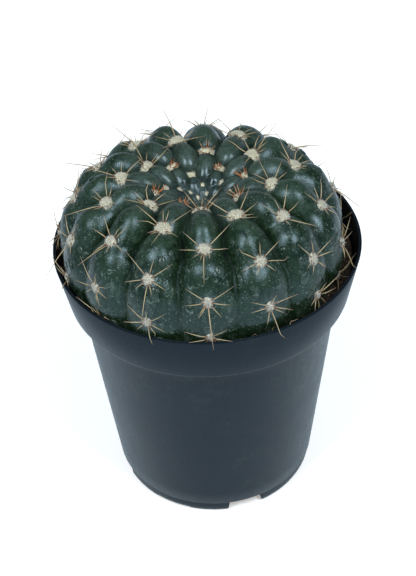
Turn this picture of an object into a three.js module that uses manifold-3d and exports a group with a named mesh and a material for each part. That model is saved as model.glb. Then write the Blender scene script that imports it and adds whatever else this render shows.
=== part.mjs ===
// Potted round cactus: a flattened, ribbed cactus grown from seed in a twelve-centimetre
// nursery pot. Millimetres, +Z up, origin at the middle of the pot's underside, front at -Y.

import * as THREE from 'three';
import { mergeVertices } from 'three/addons/utils/BufferGeometryUtils.js';
import Module from 'manifold-3d';

const wasm = await Module();
wasm.setup();

// ---------------------------------------------------------------- driving dimensions

// Pot
const POT_HEIGHT = 115;
const RIM_RADIUS = 60;
const WALL = 1.2;
const COLLAR_HEIGHT = 21;
const COLLAR_BASE_RADIUS = 56;
const SHOULDER_RADIUS = 51.4;
const HEEL_RADIUS = 41.3;
const HEEL_HEIGHT = 6.5;
const POT_SEGMENTS = 48;

// Feet under the pot, and the notches between them, deep and shallow by turns
const FEET = 8;
const FIRST_FOOT_TURN = -6;
const NOTCH_WIDTH = 14.5;
const DEEP_NOTCH = 5.5;
const SHALLOW_NOTCH = 1.3;
const BASE_DISC_RADIUS = 29;
const DRAIN_RADIUS = 3.2;
const DRAIN_RING_RADIUS = 33.5;
const FAR_OUT = 50;

// Soil
const SOIL_LEVEL = 104;
const TOUCH_GAP = 0.3;

// Plant
const RIBS = 15;
const RIB_STEP = 360 / RIBS;
const FIRST_RIB_TURN = 1.4;
const PLANT_OFFSET_X = -1.8;
const PLANT_OFFSET_Y = -3.2;
const LEAN_BACK = -4;
const LEAN_SIDE = -0.8;
const CREST_STEPS_PER_RIB = 6;

// The ribs at the back bend round a little on the plant's shoulder
const BACK_DRIFT = 7.2;
const DRIFT_START = 20;
const DRIFT_END = 42;

// Crest line of a rib, crown to root neck: radius and height above the pot's rim
const CREST = [
  [0, 17], [8.5, 21], [17, 26.7], [25, 30], [33.5, 30.2], [41, 27], [48, 22], [53, 14],
  [54.5, 4.5], [54, -3], [51.5, -11], [44, -21], [32, -29], [20, -36], [13, -44], [11, -54],
];
const FURROW_DEPTH = 7.5;
const FURROW_SLOPE = 0.25;
const MOUND_HEIGHT = 3.2;

// Distance from the crown of the areoles on a rib, youngest first, and how far along that
// count each rib has grown
const AREOLE_DISTANCES = [2, 10, 25, 46, 65, 80.5, 97, 112];
const RIB_GROWTH = [
  0.99, 0.42, 0.86, 0.31, 0.73, 0.16, 0.49, 0.9, 0.26, 0.63, 0.02, 0.35, 0.71, 0.17, 0.62,
];
const NEAREST_AREOLE = 14.5;
const FARTHEST_AREOLE = 81;

// Spine clusters
const PAD_RADIUS = 2.3;
const PAD_HEIGHT = 1.3;
const PAD_SIDES = 6;
const PAD_GAP = 0.55;
const PAD_CLEARANCE = 1.3;
const SPREAD = 61.8;
const SPINE_RADIUS = 0.32;
const SPINE_ROOT = 0.6;
const SPINE_CLEARANCE = 1;
// Number of places along a spine that have to be clear of the pot and the soil
const SPINE_CHECKS = 6;
// Turn from the down-rib direction, and length
const SPINES = [[0, 13], [38, 6.5], [-41, 6.5], [80, 8.5], [-76, 8.5], [124, 11], [-121, 11]];

// ---------------------------------------------------------------- materials

const finish = (color, roughness) =>
  new THREE.MeshStandardMaterial({ color, roughness, metalness: 0 });

const potPlastic = finish(0x31373d, 0.42);
const pottingMix = finish(0x2b211a, 0.95);
const skin = finish(0x34463f, 0.48);
const felt = finish(0xe8e2cd, 0.9);

// ---------------------------------------------------------------- small helpers

const radians = THREE.MathUtils.degToRad;
const lerp = THREE.MathUtils.lerp;
const smoothstep = THREE.MathUtils.smoothstep;

/** A closed geometry as a manifold-3d solid. */
function solid(geometry) {
  const bare = geometry.clone();
  bare.deleteAttribute('normal');
  bare.deleteAttribute('uv');
  const merged = mergeVertices(bare, 1e-4);
  return new wasm.Manifold(new wasm.Mesh({
    numProp: 3,
    vertProperties: new Float32Array(merged.attributes.position.array),
    triVerts: new Uint32Array(merged.index.array),
  }));
}

/** A manifold-3d solid as a geometry. */
function geometryOf(body) {
  const mesh = body.getMesh();
  const geometry = new THREE.BufferGeometry();
  geometry.setAttribute('position', new THREE.Float32BufferAttribute(mesh.vertProperties, 3));
  geometry.setIndex(Array.from(mesh.triVerts));
  geometry.computeVertexNormals();
  return geometry;
}

/** A solid of revolution about Z, from [radius, height] points that start and end on the axis. */
function revolve(points, segments) {
  const profile = points.map(([radius, height]) => new THREE.Vector2(radius, height));
  const geometry = new THREE.LatheGeometry(profile, segments);
  geometry.rotateX(Math.PI / 2);
  return geometry;
}

/** Azimuth measured from the front (-Y) towards +X, as a unit vector. */
function heading(degrees) {
  const angle = radians(degrees);
  return new THREE.Vector3(Math.sin(angle), -Math.cos(angle), 0);
}

// ---------------------------------------------------------------- pot

/** Turn of a notch's middle from the front, by its number. */
function notchTurn(number) {
  return FIRST_FOOT_TURN + (number + 0.5) * 360 / FEET;
}

/** The space under the floor through every second notch: a disc with bars running outwards. */
function notchCut(first, depth, grow) {
  const halfBar = NOTCH_WIDTH / 2 + grow;
  const disc = BASE_DISC_RADIUS + grow;
  const halfTurn = Math.asin(halfBar / disc);
  const shape = new THREE.Shape();
  for (let i = first; i < FEET; i += 2) {
    const middle = radians(notchTurn(i) - 90);
    const next = middle + 4 * Math.PI / FEET;
    const out = new THREE.Vector2(Math.cos(middle), Math.sin(middle));
    const side = new THREE.Vector2(-out.y, out.x);
    for (const sign of [-1, 1]) {
      const corner = out.clone().multiplyScalar(FAR_OUT).addScaledVector(side, sign * halfBar);
      if (i === first && sign < 0) {
        shape.moveTo(corner.x, corner.y);
      } else {
        shape.lineTo(corner.x, corner.y);
      }
    }
    shape.absarc(0, 0, disc, middle + halfTurn, next - halfTurn, false);
  }
  shape.closePath();
  const options = { depth: depth + grow + 1, bevelEnabled: false, curveSegments: 4 };
  return solid(new THREE.ExtrudeGeometry(shape, options).translate(0, 0, -1));
}

/** Everything that is open under the pot between its feet. */
function underCut(grow) {
  return notchCut(0, DEEP_NOTCH, grow).add(notchCut(1, SHALLOW_NOTCH, grow));
}

/** Outline of the pot's outside, from the axis at the floor to the axis at the rim. */
function outsideOutline() {
  const collarFoot = POT_HEIGHT - COLLAR_HEIGHT;
  return [
    [0, 0], [HEEL_RADIUS - 3, 0], [HEEL_RADIUS - 1.5, 0.7], [HEEL_RADIUS - 0.7, 2.5],
    [HEEL_RADIUS, HEEL_HEIGHT], [SHOULDER_RADIUS, collarFoot - 0.8],
    [COLLAR_BASE_RADIUS - 0.8, collarFoot], [COLLAR_BASE_RADIUS, collarFoot + 1],
    [RIM_RADIUS, POT_HEIGHT - 0.4], [RIM_RADIUS - 0.4, POT_HEIGHT], [0, POT_HEIGHT],
  ];
}

/** Outline of the pot's inside, shrunk by a gap, up to a given height. */
function insideOutline(gap, top) {
  const ledge = POT_HEIGHT - COLLAR_HEIGHT + WALL + gap;
  const thick = WALL + gap;
  const rimInside = RIM_RADIUS - thick;
  const ledgeInside = COLLAR_BASE_RADIUS - thick;
  const share = (top - ledge) / (POT_HEIGHT - ledge);
  return [
    [0, thick], [HEEL_RADIUS - 2 - thick, thick], [HEEL_RADIUS - 0.5 - thick, 2.5 + thick],
    [SHOULDER_RADIUS - thick, ledge], [ledgeInside, ledge + 0.6],
    [lerp(ledgeInside, rimInside, share), top], [0, top],
  ];
}

/** The pot's cavity with its raised floor, as a solid. */
function cavity(gap, top) {
  return solid(revolve(insideOutline(gap, top), POT_SEGMENTS)).subtract(underCut(WALL + gap));
}

/** A drain hole's cutter at a place on the raised floor. */
function drain(x, y) {
  const cutter = new THREE.CylinderGeometry(DRAIN_RADIUS, DRAIN_RADIUS, 4 * WALL, 12);
  cutter.rotateX(Math.PI / 2).translate(x, y, DEEP_NOTCH + WALL / 2);
  return solid(cutter);
}

function makePot() {
  let body = solid(revolve(outsideOutline(), POT_SEGMENTS)).subtract(underCut(0));
  body = body.subtract(cavity(0, POT_HEIGHT + 1)).subtract(drain(0, 0));
  for (let i = 0; i < FEET; i += 2) {
    const place = heading(notchTurn(i)).multiplyScalar(DRAIN_RING_RADIUS);
    body = body.subtract(drain(place.x, place.y));
  }
  const pot = new THREE.Mesh(geometryOf(body), potPlastic);
  pot.name = 'pot';
  return pot;
}

// ---------------------------------------------------------------- cactus body

const crestCurve = new THREE.SplineCurve(CREST.map(([r, z]) => new THREE.Vector2(r, z)));
crestCurve.arcLengthDivisions = 600;
const crestLength = crestCurve.getLength();

/** Point and outward normal of the crest line at a distance from the crown. */
function crestAt(distance) {
  const share = THREE.MathUtils.clamp(distance / crestLength, 0, 1);
  const point = crestCurve.getPointAt(share);
  const along = crestCurve.getTangentAt(share);
  return { point, along, normal: new THREE.Vector2(-along.y, along.x) };
}

/** Distance from the crown of a rib's areole at a growth count. */
function areoleDistance(count) {
  const last = AREOLE_DISTANCES.length - 2;
  const step = THREE.MathUtils.clamp(Math.floor(count), 0, last);
  return lerp(AREOLE_DISTANCES[step], AREOLE_DISTANCES[step + 1], count - step);
}

/** Growth count at a distance from the crown, the inverse of areoleDistance. */
function growthCount(distance) {
  let step = 0;
  while (step < AREOLE_DISTANCES.length - 2 && distance > AREOLE_DISTANCES[step + 1]) {
    step += 1;
  }
  const start = AREOLE_DISTANCES[step];
  return step + (distance - start) / (AREOLE_DISTANCES[step + 1] - start);
}

/** Unit vector away from the plant's axis, at a number of ribs round from the first. */
function ribHeading(turn, distance) {
  const degrees = FIRST_RIB_TURN + turn * RIB_STEP;
  const back = ((1 - Math.cos(radians(degrees))) / 2) ** 2;
  return heading(degrees + BACK_DRIFT * back * smoothstep(distance, DRIFT_START, DRIFT_END));
}

/** How far the skin stands from the crest line, at a distance from the crown and a place
 *  across the rib from -1 (one furrow) through 0 (the crest) to 1 (the next furrow). */
function skinRise(rib, distance, across, radius) {
  const fade = 1 - smoothstep(distance, 52, 110);
  const depth = Math.min(FURROW_DEPTH, radius * FURROW_SLOPE) * lerp(0.25, 1, fade);
  const furrow = depth * (1 - Math.sqrt(1 - Math.abs(across) ** 2.2));
  const swell = Math.sin(Math.PI * (growthCount(distance) - RIB_GROWTH[rib])) ** 2;
  const reach = smoothstep(distance, 0, 14) * (1 - 0.9 * smoothstep(distance, 38, 76));
  const buried = 1 - smoothstep(distance, 88, 100);
  const mound = MOUND_HEIGHT * reach * buried * swell * (1 - across * across);
  return mound - furrow * (1 - smoothstep(distance, 100, 135));
}

/** Distances from the crown at which the body has a ring of points. */
function ringDistances() {
  const rings = [];
  for (let distance = 3.5; distance < 96; distance += 4.6) {
    rings.push(distance);
  }
  for (let distance = 104; distance < crestLength; distance += 10) {
    rings.push(distance);
  }
  rings.push(crestLength);
  return rings;
}

/** The whole grown body with its root neck, grown outwards by a clearance if asked. */
function bodyGeometry(clearance) {
  const around = RIBS * CREST_STEPS_PER_RIB;
  const rings = ringDistances();
  const points = [];
  for (const distance of rings) {
    const { point, normal } = crestAt(distance);
    for (let i = 0; i < around; i += 1) {
      const turn = i / CREST_STEPS_PER_RIB;
      const rib = Math.round(turn) % RIBS;
      const across = 2 * (turn - Math.round(turn));
      const rise = skinRise(rib, distance, across, point.x) + clearance;
      const out = ribHeading(turn, distance).multiplyScalar(point.x + normal.x * rise);
      points.push(out.x, out.y, point.y + normal.y * rise);
    }
  }
  const crown = points.length / 3;
  points.push(0, 0, CREST[0][1] + clearance);
  points.push(0, 0, CREST[CREST.length - 1][1] - 1 - clearance);
  const faces = [];
  for (let i = 0; i < around; i += 1) {
    const j = (i + 1) % around;
    faces.push(crown, i, j);
    for (let k = 0; k < rings.length - 1; k += 1) {
      const upper = k * around;
      const lower = upper + around;
      faces.push(upper + i, lower + i, lower + j, upper + i, lower + j, upper + j);
    }
    const last = (rings.length - 1) * around;
    faces.push(last + i, crown + 1, last + j);
  }
  const geometry = new THREE.BufferGeometry();
  geometry.setAttribute('position', new THREE.Float32BufferAttribute(points, 3));
  geometry.setIndex(faces);
  geometry.computeVertexNormals();
  return geometry;
}

/** The plant's own frame: leaning a little in the pot, its zero height at the rim. */
function plantFrame() {
  const frame = new THREE.Group();
  frame.position.set(PLANT_OFFSET_X, PLANT_OFFSET_Y, POT_HEIGHT);
  frame.rotation.set(radians(LEAN_BACK), radians(LEAN_SIDE), 0, 'YXZ');
  frame.updateMatrixWorld(true);
  return frame;
}

function makeBody() {
  const body = new THREE.Mesh(bodyGeometry(0), skin);
  body.name = 'cactus_body';
  return body;
}

// ---------------------------------------------------------------- soil

function makeSoil(plant) {
  const hollow = bodyGeometry(TOUCH_GAP + 0.1).applyMatrix4(plant.matrixWorld);
  const fill = cavity(TOUCH_GAP, SOIL_LEVEL).subtract(solid(hollow));
  const soil = new THREE.Mesh(geometryOf(fill), pottingMix);
  soil.name = 'soil';
  return soil;
}

// ---------------------------------------------------------------- spine clusters

/** Inner radius of the pot's collar at a height above the ground. */
function collarInside(height) {
  const foot = POT_HEIGHT - COLLAR_HEIGHT;
  const share = (height - foot) / COLLAR_HEIGHT;
  return lerp(COLLAR_BASE_RADIUS, RIM_RADIUS, share) - WALL;
}

/** Whether a point in the pot's frame stays clear of the pot and the soil by a margin, and
 *  within the plant's spread. */
function inTheOpen(point, margin) {
  const radius = Math.hypot(point.x, point.y);
  const clearOfPot = point.z > POT_HEIGHT + margin || radius + margin < collarInside(point.z);
  return clearOfPot && point.z > SOIL_LEVEL + margin && radius < SPREAD;
}

/** The largest of a solid's separate bodies. */
function largestBody(body) {
  return body.decompose().reduce((best, other) => (other.volume() > best.volume() ? other : best));
}

/** One cluster of felt pad and spines, in its own frame: X down the rib, Z out of the skin.
 *  The reach scales the spines, the lift is their angle off the skin, and the place is the
 *  cluster's frame in the pot's frame. */
function clusterGeometry(size, reach, lift, place, flesh) {
  const dome = [[0, 0], [PAD_RADIUS, 0], [PAD_RADIUS, 0.5], [PAD_RADIUS * 0.6, PAD_HEIGHT], [0, PAD_HEIGHT]];
  const pad = revolve(dome.map(([r, z]) => [r * size, z * size]), PAD_SIDES);
  let cluster = solid(pad);
  const checks = Array.from({ length: SPINE_CHECKS }, (_, i) => (i + 1) / SPINE_CHECKS);
  for (const [turn, length] of SPINES) {
    const out = new THREE.Vector3(Math.cos(radians(turn)), Math.sin(radians(turn)), 0);
    out.multiplyScalar(Math.cos(lift)).setZ(Math.sin(lift));
    const root = new THREE.Vector3(out.x, out.y, 0).multiplyScalar(SPINE_ROOT).setZ(PAD_HEIGHT * size / 2);
    let grown = length * reach;
    const at = (share) => root.clone().addScaledVector(out, grown * share).applyMatrix4(place);
    const clear = () => checks.every((share) => inTheOpen(at(share), SPINE_CLEARANCE));
    while (grown > PAD_RADIUS && !clear()) {
      grown -= 0.5;
    }
    const spine = new THREE.ConeGeometry(SPINE_RADIUS, grown, 3);
    spine.translate(0, grown / 2, 0);
    spine.applyQuaternion(new THREE.Quaternion().setFromUnitVectors(new THREE.Vector3(0, 1, 0), out));
    cluster = cluster.add(solid(spine.translate(root.x, root.y, root.z)));
  }
  return geometryOf(largestBody(cluster.subtract(flesh)));
}

/** The frame of an areole on a rib at a distance from the crown. */
function areoleFrame(rib, distance, size) {
  const { point, along, normal } = crestAt(distance);
  const out = ribHeading(rib, distance);
  const up = new THREE.Vector3(0, 0, 1);
  const down = out.clone().multiplyScalar(along.x).addScaledVector(up, along.y);
  const away = out.clone().multiplyScalar(normal.x).addScaledVector(up, normal.y);
  const side = new THREE.Vector3().crossVectors(away, down);
  const place = out.multiplyScalar(point.x).addScaledVector(up, point.y);
  place.addScaledVector(away, PAD_GAP * size);
  return new THREE.Matrix4().makeBasis(down, side, away).setPosition(place);
}

/** Every areole between the crown and the soil, each a named cluster. */
function addClusters(plant) {
  const clearBody = bodyGeometry(TOUCH_GAP);
  for (let rib = 0; rib < RIBS; rib += 1) {
    let number = 0;
    for (let step = 0; step < AREOLE_DISTANCES.length - 1; step += 1) {
      const distance = areoleDistance(step + RIB_GROWTH[rib]);
      if (distance < NEAREST_AREOLE || distance > FARTHEST_AREOLE) {
        continue;
      }
      const age = smoothstep(distance, 10, 34);
      const size = lerp(0.8, 1.3, age) - 0.5 * smoothstep(distance, 40, 80);
      const frame = areoleFrame(rib, distance, size);
      const place = new THREE.Matrix4().multiplyMatrices(plant.matrixWorld, frame);
      const middle = new THREE.Vector3(0, 0, PAD_HEIGHT).applyMatrix4(place);
      if (!inTheOpen(middle, PAD_CLEARANCE)) {
        continue;
      }
      number += 1;
      const lift = radians(lerp(55, 30, age) - 20 * smoothstep(distance, 40, 75));
      const reach = lerp(0.45, 1, age);
      const flesh = solid(clearBody.clone().applyMatrix4(frame.clone().invert()));
      const cluster = new THREE.Mesh(clusterGeometry(size, reach, lift, place, flesh), felt);
      cluster.name = `areole_${String(rib + 1).padStart(2, '0')}_${number}`;
      frame.decompose(cluster.position, cluster.quaternion, cluster.scale);
      plant.add(cluster);
    }
  }
}

// ---------------------------------------------------------------- the whole object

const plant = plantFrame();
plant.add(makeBody());
addClusters(plant);

const pottedCactus = new THREE.Group();
pottedCactus.name = 'potted_cactus';
pottedCactus.add(makePot(), makeSoil(plant), plant);

export default pottedCactus;
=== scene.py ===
"""Potted round cactus: a flattened, ribbed cactus in a nursery pot.

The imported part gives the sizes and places. This script grows the fine skin, felt pads,
spines, water beads and potting mix around it, moulds the smooth pot and dresses every
surface. Every length is in metres.
"""
import logging
import math
from dataclasses import dataclass, field
from enum import Enum
from typing import Sequence

import bpy
import numpy as np
from mathutils import Matrix, Vector, noise
from mathutils.bvhtree import BVHTree


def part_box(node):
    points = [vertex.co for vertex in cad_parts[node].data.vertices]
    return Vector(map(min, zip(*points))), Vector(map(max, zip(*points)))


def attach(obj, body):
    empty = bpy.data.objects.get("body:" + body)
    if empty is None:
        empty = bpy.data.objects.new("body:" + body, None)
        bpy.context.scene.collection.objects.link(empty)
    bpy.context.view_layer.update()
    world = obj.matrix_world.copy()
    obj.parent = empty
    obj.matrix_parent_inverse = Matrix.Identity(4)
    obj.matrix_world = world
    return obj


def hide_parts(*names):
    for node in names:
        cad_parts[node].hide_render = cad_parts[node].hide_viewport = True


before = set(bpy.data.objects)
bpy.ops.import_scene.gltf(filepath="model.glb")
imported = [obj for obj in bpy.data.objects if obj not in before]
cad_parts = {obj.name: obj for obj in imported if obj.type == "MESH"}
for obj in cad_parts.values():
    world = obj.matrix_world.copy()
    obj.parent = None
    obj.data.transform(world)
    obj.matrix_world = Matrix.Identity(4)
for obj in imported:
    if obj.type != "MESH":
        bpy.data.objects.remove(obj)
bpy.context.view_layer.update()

MM = 0.001
ROOT_BODY = "root"
Colour = tuple[float, float, float]
Pair = tuple[float, float]
Socket = bpy.types.NodeSocket
PLAIN = (1.0, 1.0, 1.0)

logging.basicConfig(level=logging.INFO, format="%(message)s")
log = logging.getLogger("potted_cactus")


# ---------------------------------------------------------------- small tools


class Slot(str, Enum):
    """The record's material slots."""

    POT = "pot_plastic"
    SOIL = "potting_mix"
    SKIN = "cactus_skin"
    TUFT = "felt_and_spines"


class Mark(str, Enum):
    """Names of the values that meshes carry for their finishes."""

    HOLLOW = "hollow"
    AGE = "age"
    HALO = "halo"
    WET = "wet"
    IS_SPINE = "is_spine"
    ROOT = "root_red"
    TIP = "tip_brown"
    TINT = "tint"
    THICK = "thick"
    SHADE = "shade"


class Wiring:
    """Adds nodes to a node tree and links them."""

    def __init__(self, tree: bpy.types.NodeTree) -> None:
        """Keeps the tree that the nodes go into.

        Args:
            tree: A shader or geometry node tree.
        """
        self.tree = tree

    def add(self, kind: str, inputs: dict | None = None, **settings: object) -> bpy.types.Node:
        """Adds one node.

        Args:
            kind: The node's type name.
            inputs: Values or output sockets, by input name or number.
            settings: Properties of the node itself.

        Returns:
            The new node.
        """
        node = self.tree.nodes.new(kind)
        for name, value in settings.items():
            setattr(node, name, value)
        for key, value in (inputs or {}).items():
            self.feed(node, key, value)
        return node

    def feed(self, node: bpy.types.Node, key: str | int, value: object) -> None:
        """Sets an input to a value, or links it to an output socket.

        Args:
            node: The node that takes the value.
            key: The input's name or number.
            value: A plain value, or an output socket.
        """
        socket = node.inputs[key]
        if isinstance(value, Socket):
            self.tree.links.new(value, socket)
        else:
            socket.default_value = value

    def maths(self, operation: str, *terms: object) -> Socket:
        """Adds a Math node and returns its result."""
        node = self.add("ShaderNodeMath", dict(enumerate(terms)), operation=operation)
        return node.outputs[0]

    def weigh(self, first: Socket, share: float, second: Socket) -> Socket:
        """Adds a share of one value and the rest of another."""
        return self.maths("MULTIPLY_ADD", first, share,
                          self.maths("MULTIPLY", second, 1 - share))

    def mix(self, factor: object, first: object, second: object) -> Socket:
        """Mixes two colours.

        Args:
            factor: Share of the second colour.
            first: Colour at factor 0.
            second: Colour at factor 1.

        Returns:
            The mixed colour's socket.
        """
        node = self.add("ShaderNodeMix", data_type="RGBA")
        self.feed(node, 0, factor)
        self.feed(node, 6, opaque(first))
        self.feed(node, 7, opaque(second))
        return node.outputs[2]

    def span(self, value: object, low: object, high: object, start: float = 0.0,
             stop: float = 1.0) -> Socket:
        """Maps low..high onto start..stop, clamped.

        Args:
            value: The value to map.
            low: Value that gives start.
            high: Value that gives stop.
            start: Result at low.
            stop: Result at high.

        Returns:
            The mapped value's socket.
        """
        node = self.add("ShaderNodeMapRange", dict(enumerate([value, low, high, start, stop])))
        return node.outputs[0]

    def mark(self, name: Mark) -> Socket:
        """Reads, in a material, a value that the mesh carries."""
        return self.add("ShaderNodeAttribute", attribute_name=name.value).outputs["Fac"]

    def place(self) -> Socket:
        """Reads, in a material, the place in the object's own frame."""
        return self.add("ShaderNodeTexCoord").outputs["Object"]

    def stretched(self, scale: tuple[float, float, float]) -> Socket:
        """Reads the place, with each axis scaled."""
        return self.add("ShaderNodeMapping", {"Vector": self.place(), "Scale": scale}).outputs[0]

    def cloud(self, place: Socket, scale: object, detail: float,
              roughness: float = 0.5) -> bpy.types.Node:
        """Adds a noise texture.

        Args:
            place: Where the noise is read.
            scale: How fine it is, a number or a socket.
            detail: Number of finer layers.
            roughness: Strength of the finer layers.

        Returns:
            The noise node: its first output is a value, its second a colour.
        """
        return self.add("ShaderNodeTexNoise", {
            "Vector": place, "Scale": scale, "Detail": detail, "Roughness": roughness})

    def bump(self, shader: bpy.types.Node, height: object, strength: float,
             distance: float) -> None:
        """Gives a shader small relief.

        Args:
            shader: The shader that gets it.
            height: The relief's height, from 0 to about 1.
            strength: How strongly it shows.
            distance: Real height of the relief where height is 1.
        """
        node = self.add("ShaderNodeBump", {
            "Height": height, "Strength": strength, "Distance": distance})
        self.feed(shader, "Normal", node.outputs[0])

    def carried(self, name: Mark) -> Socket:
        """Reads, in geometry nodes, a value that the mesh carries."""
        return self.add("GeometryNodeInputNamedAttribute", {"Name": name.value},
                        data_type="FLOAT").outputs[0]

    def dice(self, low: float, high: float, seed: object) -> Socket:
        """Draws a number between two for each point, in geometry nodes."""
        return self.add("FunctionNodeRandomValue", {2: low, 3: high, "Seed": seed}).outputs[1]

    def dice_vector(self, low: tuple[float, float, float], high: tuple[float, float, float],
                    seed: object) -> Socket:
        """Draws a vector between two for each point, in geometry nodes."""
        return self.add("FunctionNodeRandomValue", {"Min": low, "Max": high, "Seed": seed},
                        data_type="FLOAT_VECTOR").outputs[0]

    def scaled(self, vector: Socket, factor: object) -> Socket:
        """Multiplies a vector by a number."""
        return self.add("ShaderNodeVectorMath", {0: vector, "Scale": factor},
                        operation="SCALE").outputs[0]


def opaque(colour: object) -> object:
    """Gives a plain colour its alpha; leaves a socket alone."""
    return (*colour, 1.0) if isinstance(colour, tuple) and len(colour) == 3 else colour


def smoothstep(value: np.ndarray | float, low: float, high: float) -> np.ndarray:
    """Smooth step from 0 at low to 1 at high."""
    share = np.clip((np.asarray(value, float) - low) / (high - low), 0.0, 1.0)
    return share * share * (3 - 2 * share)


def heading(angle: np.ndarray | float) -> np.ndarray:
    """Unit vector at an azimuth in radians from the front (-Y) towards +X."""
    angle = np.asarray(angle, float)
    return np.stack([np.sin(angle), -np.cos(angle), np.zeros_like(angle)], axis=-1)


def catmull_rom(points: np.ndarray, steps: int) -> np.ndarray:
    """Smooth curve through points.

    Args:
        points: The points to pass through.
        steps: Pieces between one point and the next.

    Returns:
        The curve's points.
    """
    before = np.vstack([points[:1], points[:-2]])
    start, end = points[:-1], points[1:]
    after = np.vstack([points[2:], points[-1:]])
    pull_start, pull_end = (end - before) / 2, (after - start) / 2
    share = np.linspace(0, 1, steps, endpoint=False)[None, :, None]
    curve = ((2 * start - 2 * end + pull_start + pull_end)[:, None] * share**3
             + (-3 * start + 3 * end - 2 * pull_start - pull_end)[:, None] * share**2
             + pull_start[:, None] * share + start[:, None])
    return np.vstack([curve.reshape(-1, points.shape[1]), points[-1:]])


def new_object(name: str, mesh: bpy.types.Mesh) -> bpy.types.Object:
    """Puts a mesh in the scene as an object at the origin.

    Args:
        name: The object's name.
        mesh: Its mesh.

    Returns:
        The new object.
    """
    thing = bpy.data.objects.new(name, mesh)
    bpy.context.scene.collection.objects.link(thing)
    return thing


def ring_faces(rings: int, around: int, closed: bool = False) -> np.ndarray:
    """Quads between rings of points, wound so that later rings lie below with faces outwards.

    Args:
        rings: Number of rings.
        around: Points in each ring, counted anticlockwise seen from above.
        closed: Whether the last ring joins the first.

    Returns:
        Four point numbers for each quad.
    """
    count = rings if closed else rings - 1
    upper = (np.arange(count)[:, None] * around + np.arange(around)[None, :])
    next_around = np.arange(count)[:, None] * around + (np.arange(around)[None, :] + 1) % around
    total = rings * around
    lower, next_lower = (upper + around) % total, (next_around + around) % total
    return np.stack([upper, lower, next_lower, next_around], -1).reshape(-1, 4)


def mesh_of(name: str, points: np.ndarray, faces: Sequence[Sequence[int]],
            edges: Sequence[Sequence[int]] = ()) -> bpy.types.Mesh:
    """Builds a smooth-shaded mesh.

    Args:
        name: The mesh's name.
        points: Point places.
        faces: Point numbers of each face.
        edges: Point numbers of loose edges.

    Returns:
        The new mesh.
    """
    mesh = bpy.data.meshes.new(name)
    mesh.from_pydata(np.asarray(points, float).tolist(), [tuple(map(int, e)) for e in edges],
                     [tuple(map(int, f)) for f in faces])
    mesh.shade_smooth()
    mesh.update()
    return mesh


def carry(mesh: bpy.types.Mesh, name: Mark, values: np.ndarray) -> None:
    """Stores one number for each point of a mesh.

    Args:
        mesh: The mesh to store on.
        name: The value's name.
        values: One number for each point.
    """
    layer = mesh.attributes.new(name.value, "FLOAT", "POINT")
    layer.data.foreach_set("value", np.ascontiguousarray(values, np.float32).ravel())


def grower(name: str, sizes: dict[str, float], *materials: str) -> tuple[
        bpy.types.NodeTree, Wiring, bpy.types.NodeInputs]:
    """Starts a geometry node tree with named inputs, a seed among them.

    Args:
        name: The tree's name.
        sizes: Standing value of each input that is a number.
        materials: Names of the inputs that are materials.

    Returns:
        The tree, its wiring and the sockets that its inputs come in by.
    """
    tree = bpy.data.node_groups.new(name, "GeometryNodeTree")
    face = tree.interface
    face.new_socket("Geometry", in_out="INPUT", socket_type="NodeSocketGeometry")
    for label, value in sizes.items():
        socket = face.new_socket(label, in_out="INPUT", socket_type="NodeSocketFloat")
        socket.default_value = value
    face.new_socket("Seed", in_out="INPUT", socket_type="NodeSocketInt")
    for label in materials:
        face.new_socket(label, in_out="INPUT", socket_type="NodeSocketMaterial")
    face.new_socket("Geometry", in_out="OUTPUT", socket_type="NodeSocketGeometry")
    wire = Wiring(tree)
    return tree, wire, wire.add("NodeGroupInput").outputs


def grow(thing: bpy.types.Object, tree: bpy.types.NodeTree, settings: dict[str, object],
         name: str) -> bpy.types.Object:
    """Runs a geometry node tree on an object and keeps the result as a plain mesh.

    Args:
        thing: The object to start from; it is removed.
        tree: The geometry node tree.
        settings: Values for the tree's named inputs.
        name: The result's name.

    Returns:
        The new object.
    """
    modifier = thing.modifiers.new(tree.name, "NODES")
    modifier.node_group = tree
    for item in tree.interface.items_tree:
        if item.item_type == "SOCKET" and item.in_out == "INPUT" and item.name in settings:
            modifier[item.identifier] = settings[item.name]
    thing.update_tag()
    graph = bpy.context.evaluated_depsgraph_get()
    mesh = bpy.data.meshes.new_from_object(thing.evaluated_get(graph), depsgraph=graph)
    thing.modifiers.clear()
    bpy.data.objects.remove(thing)
    mesh.name = name
    return new_object(name, mesh)


def finish_piece(thing: bpy.types.Object, slot: Slot, *nodes: str) -> bpy.types.Object:
    """Ties a finished piece to the frame and reports it.

    Args:
        thing: The finished piece.
        slot: The record's material slot; not used.
        nodes: CAD nodes that the piece stands for.

    Returns:
        The same piece.
    """
    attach(thing, ROOT_BODY)
    if nodes:
        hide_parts(*nodes)
    log.info("%s: %d faces", thing.name, len(thing.data.polygons))
    return thing


# ---------------------------------------------------------------- shared shader groups


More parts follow.
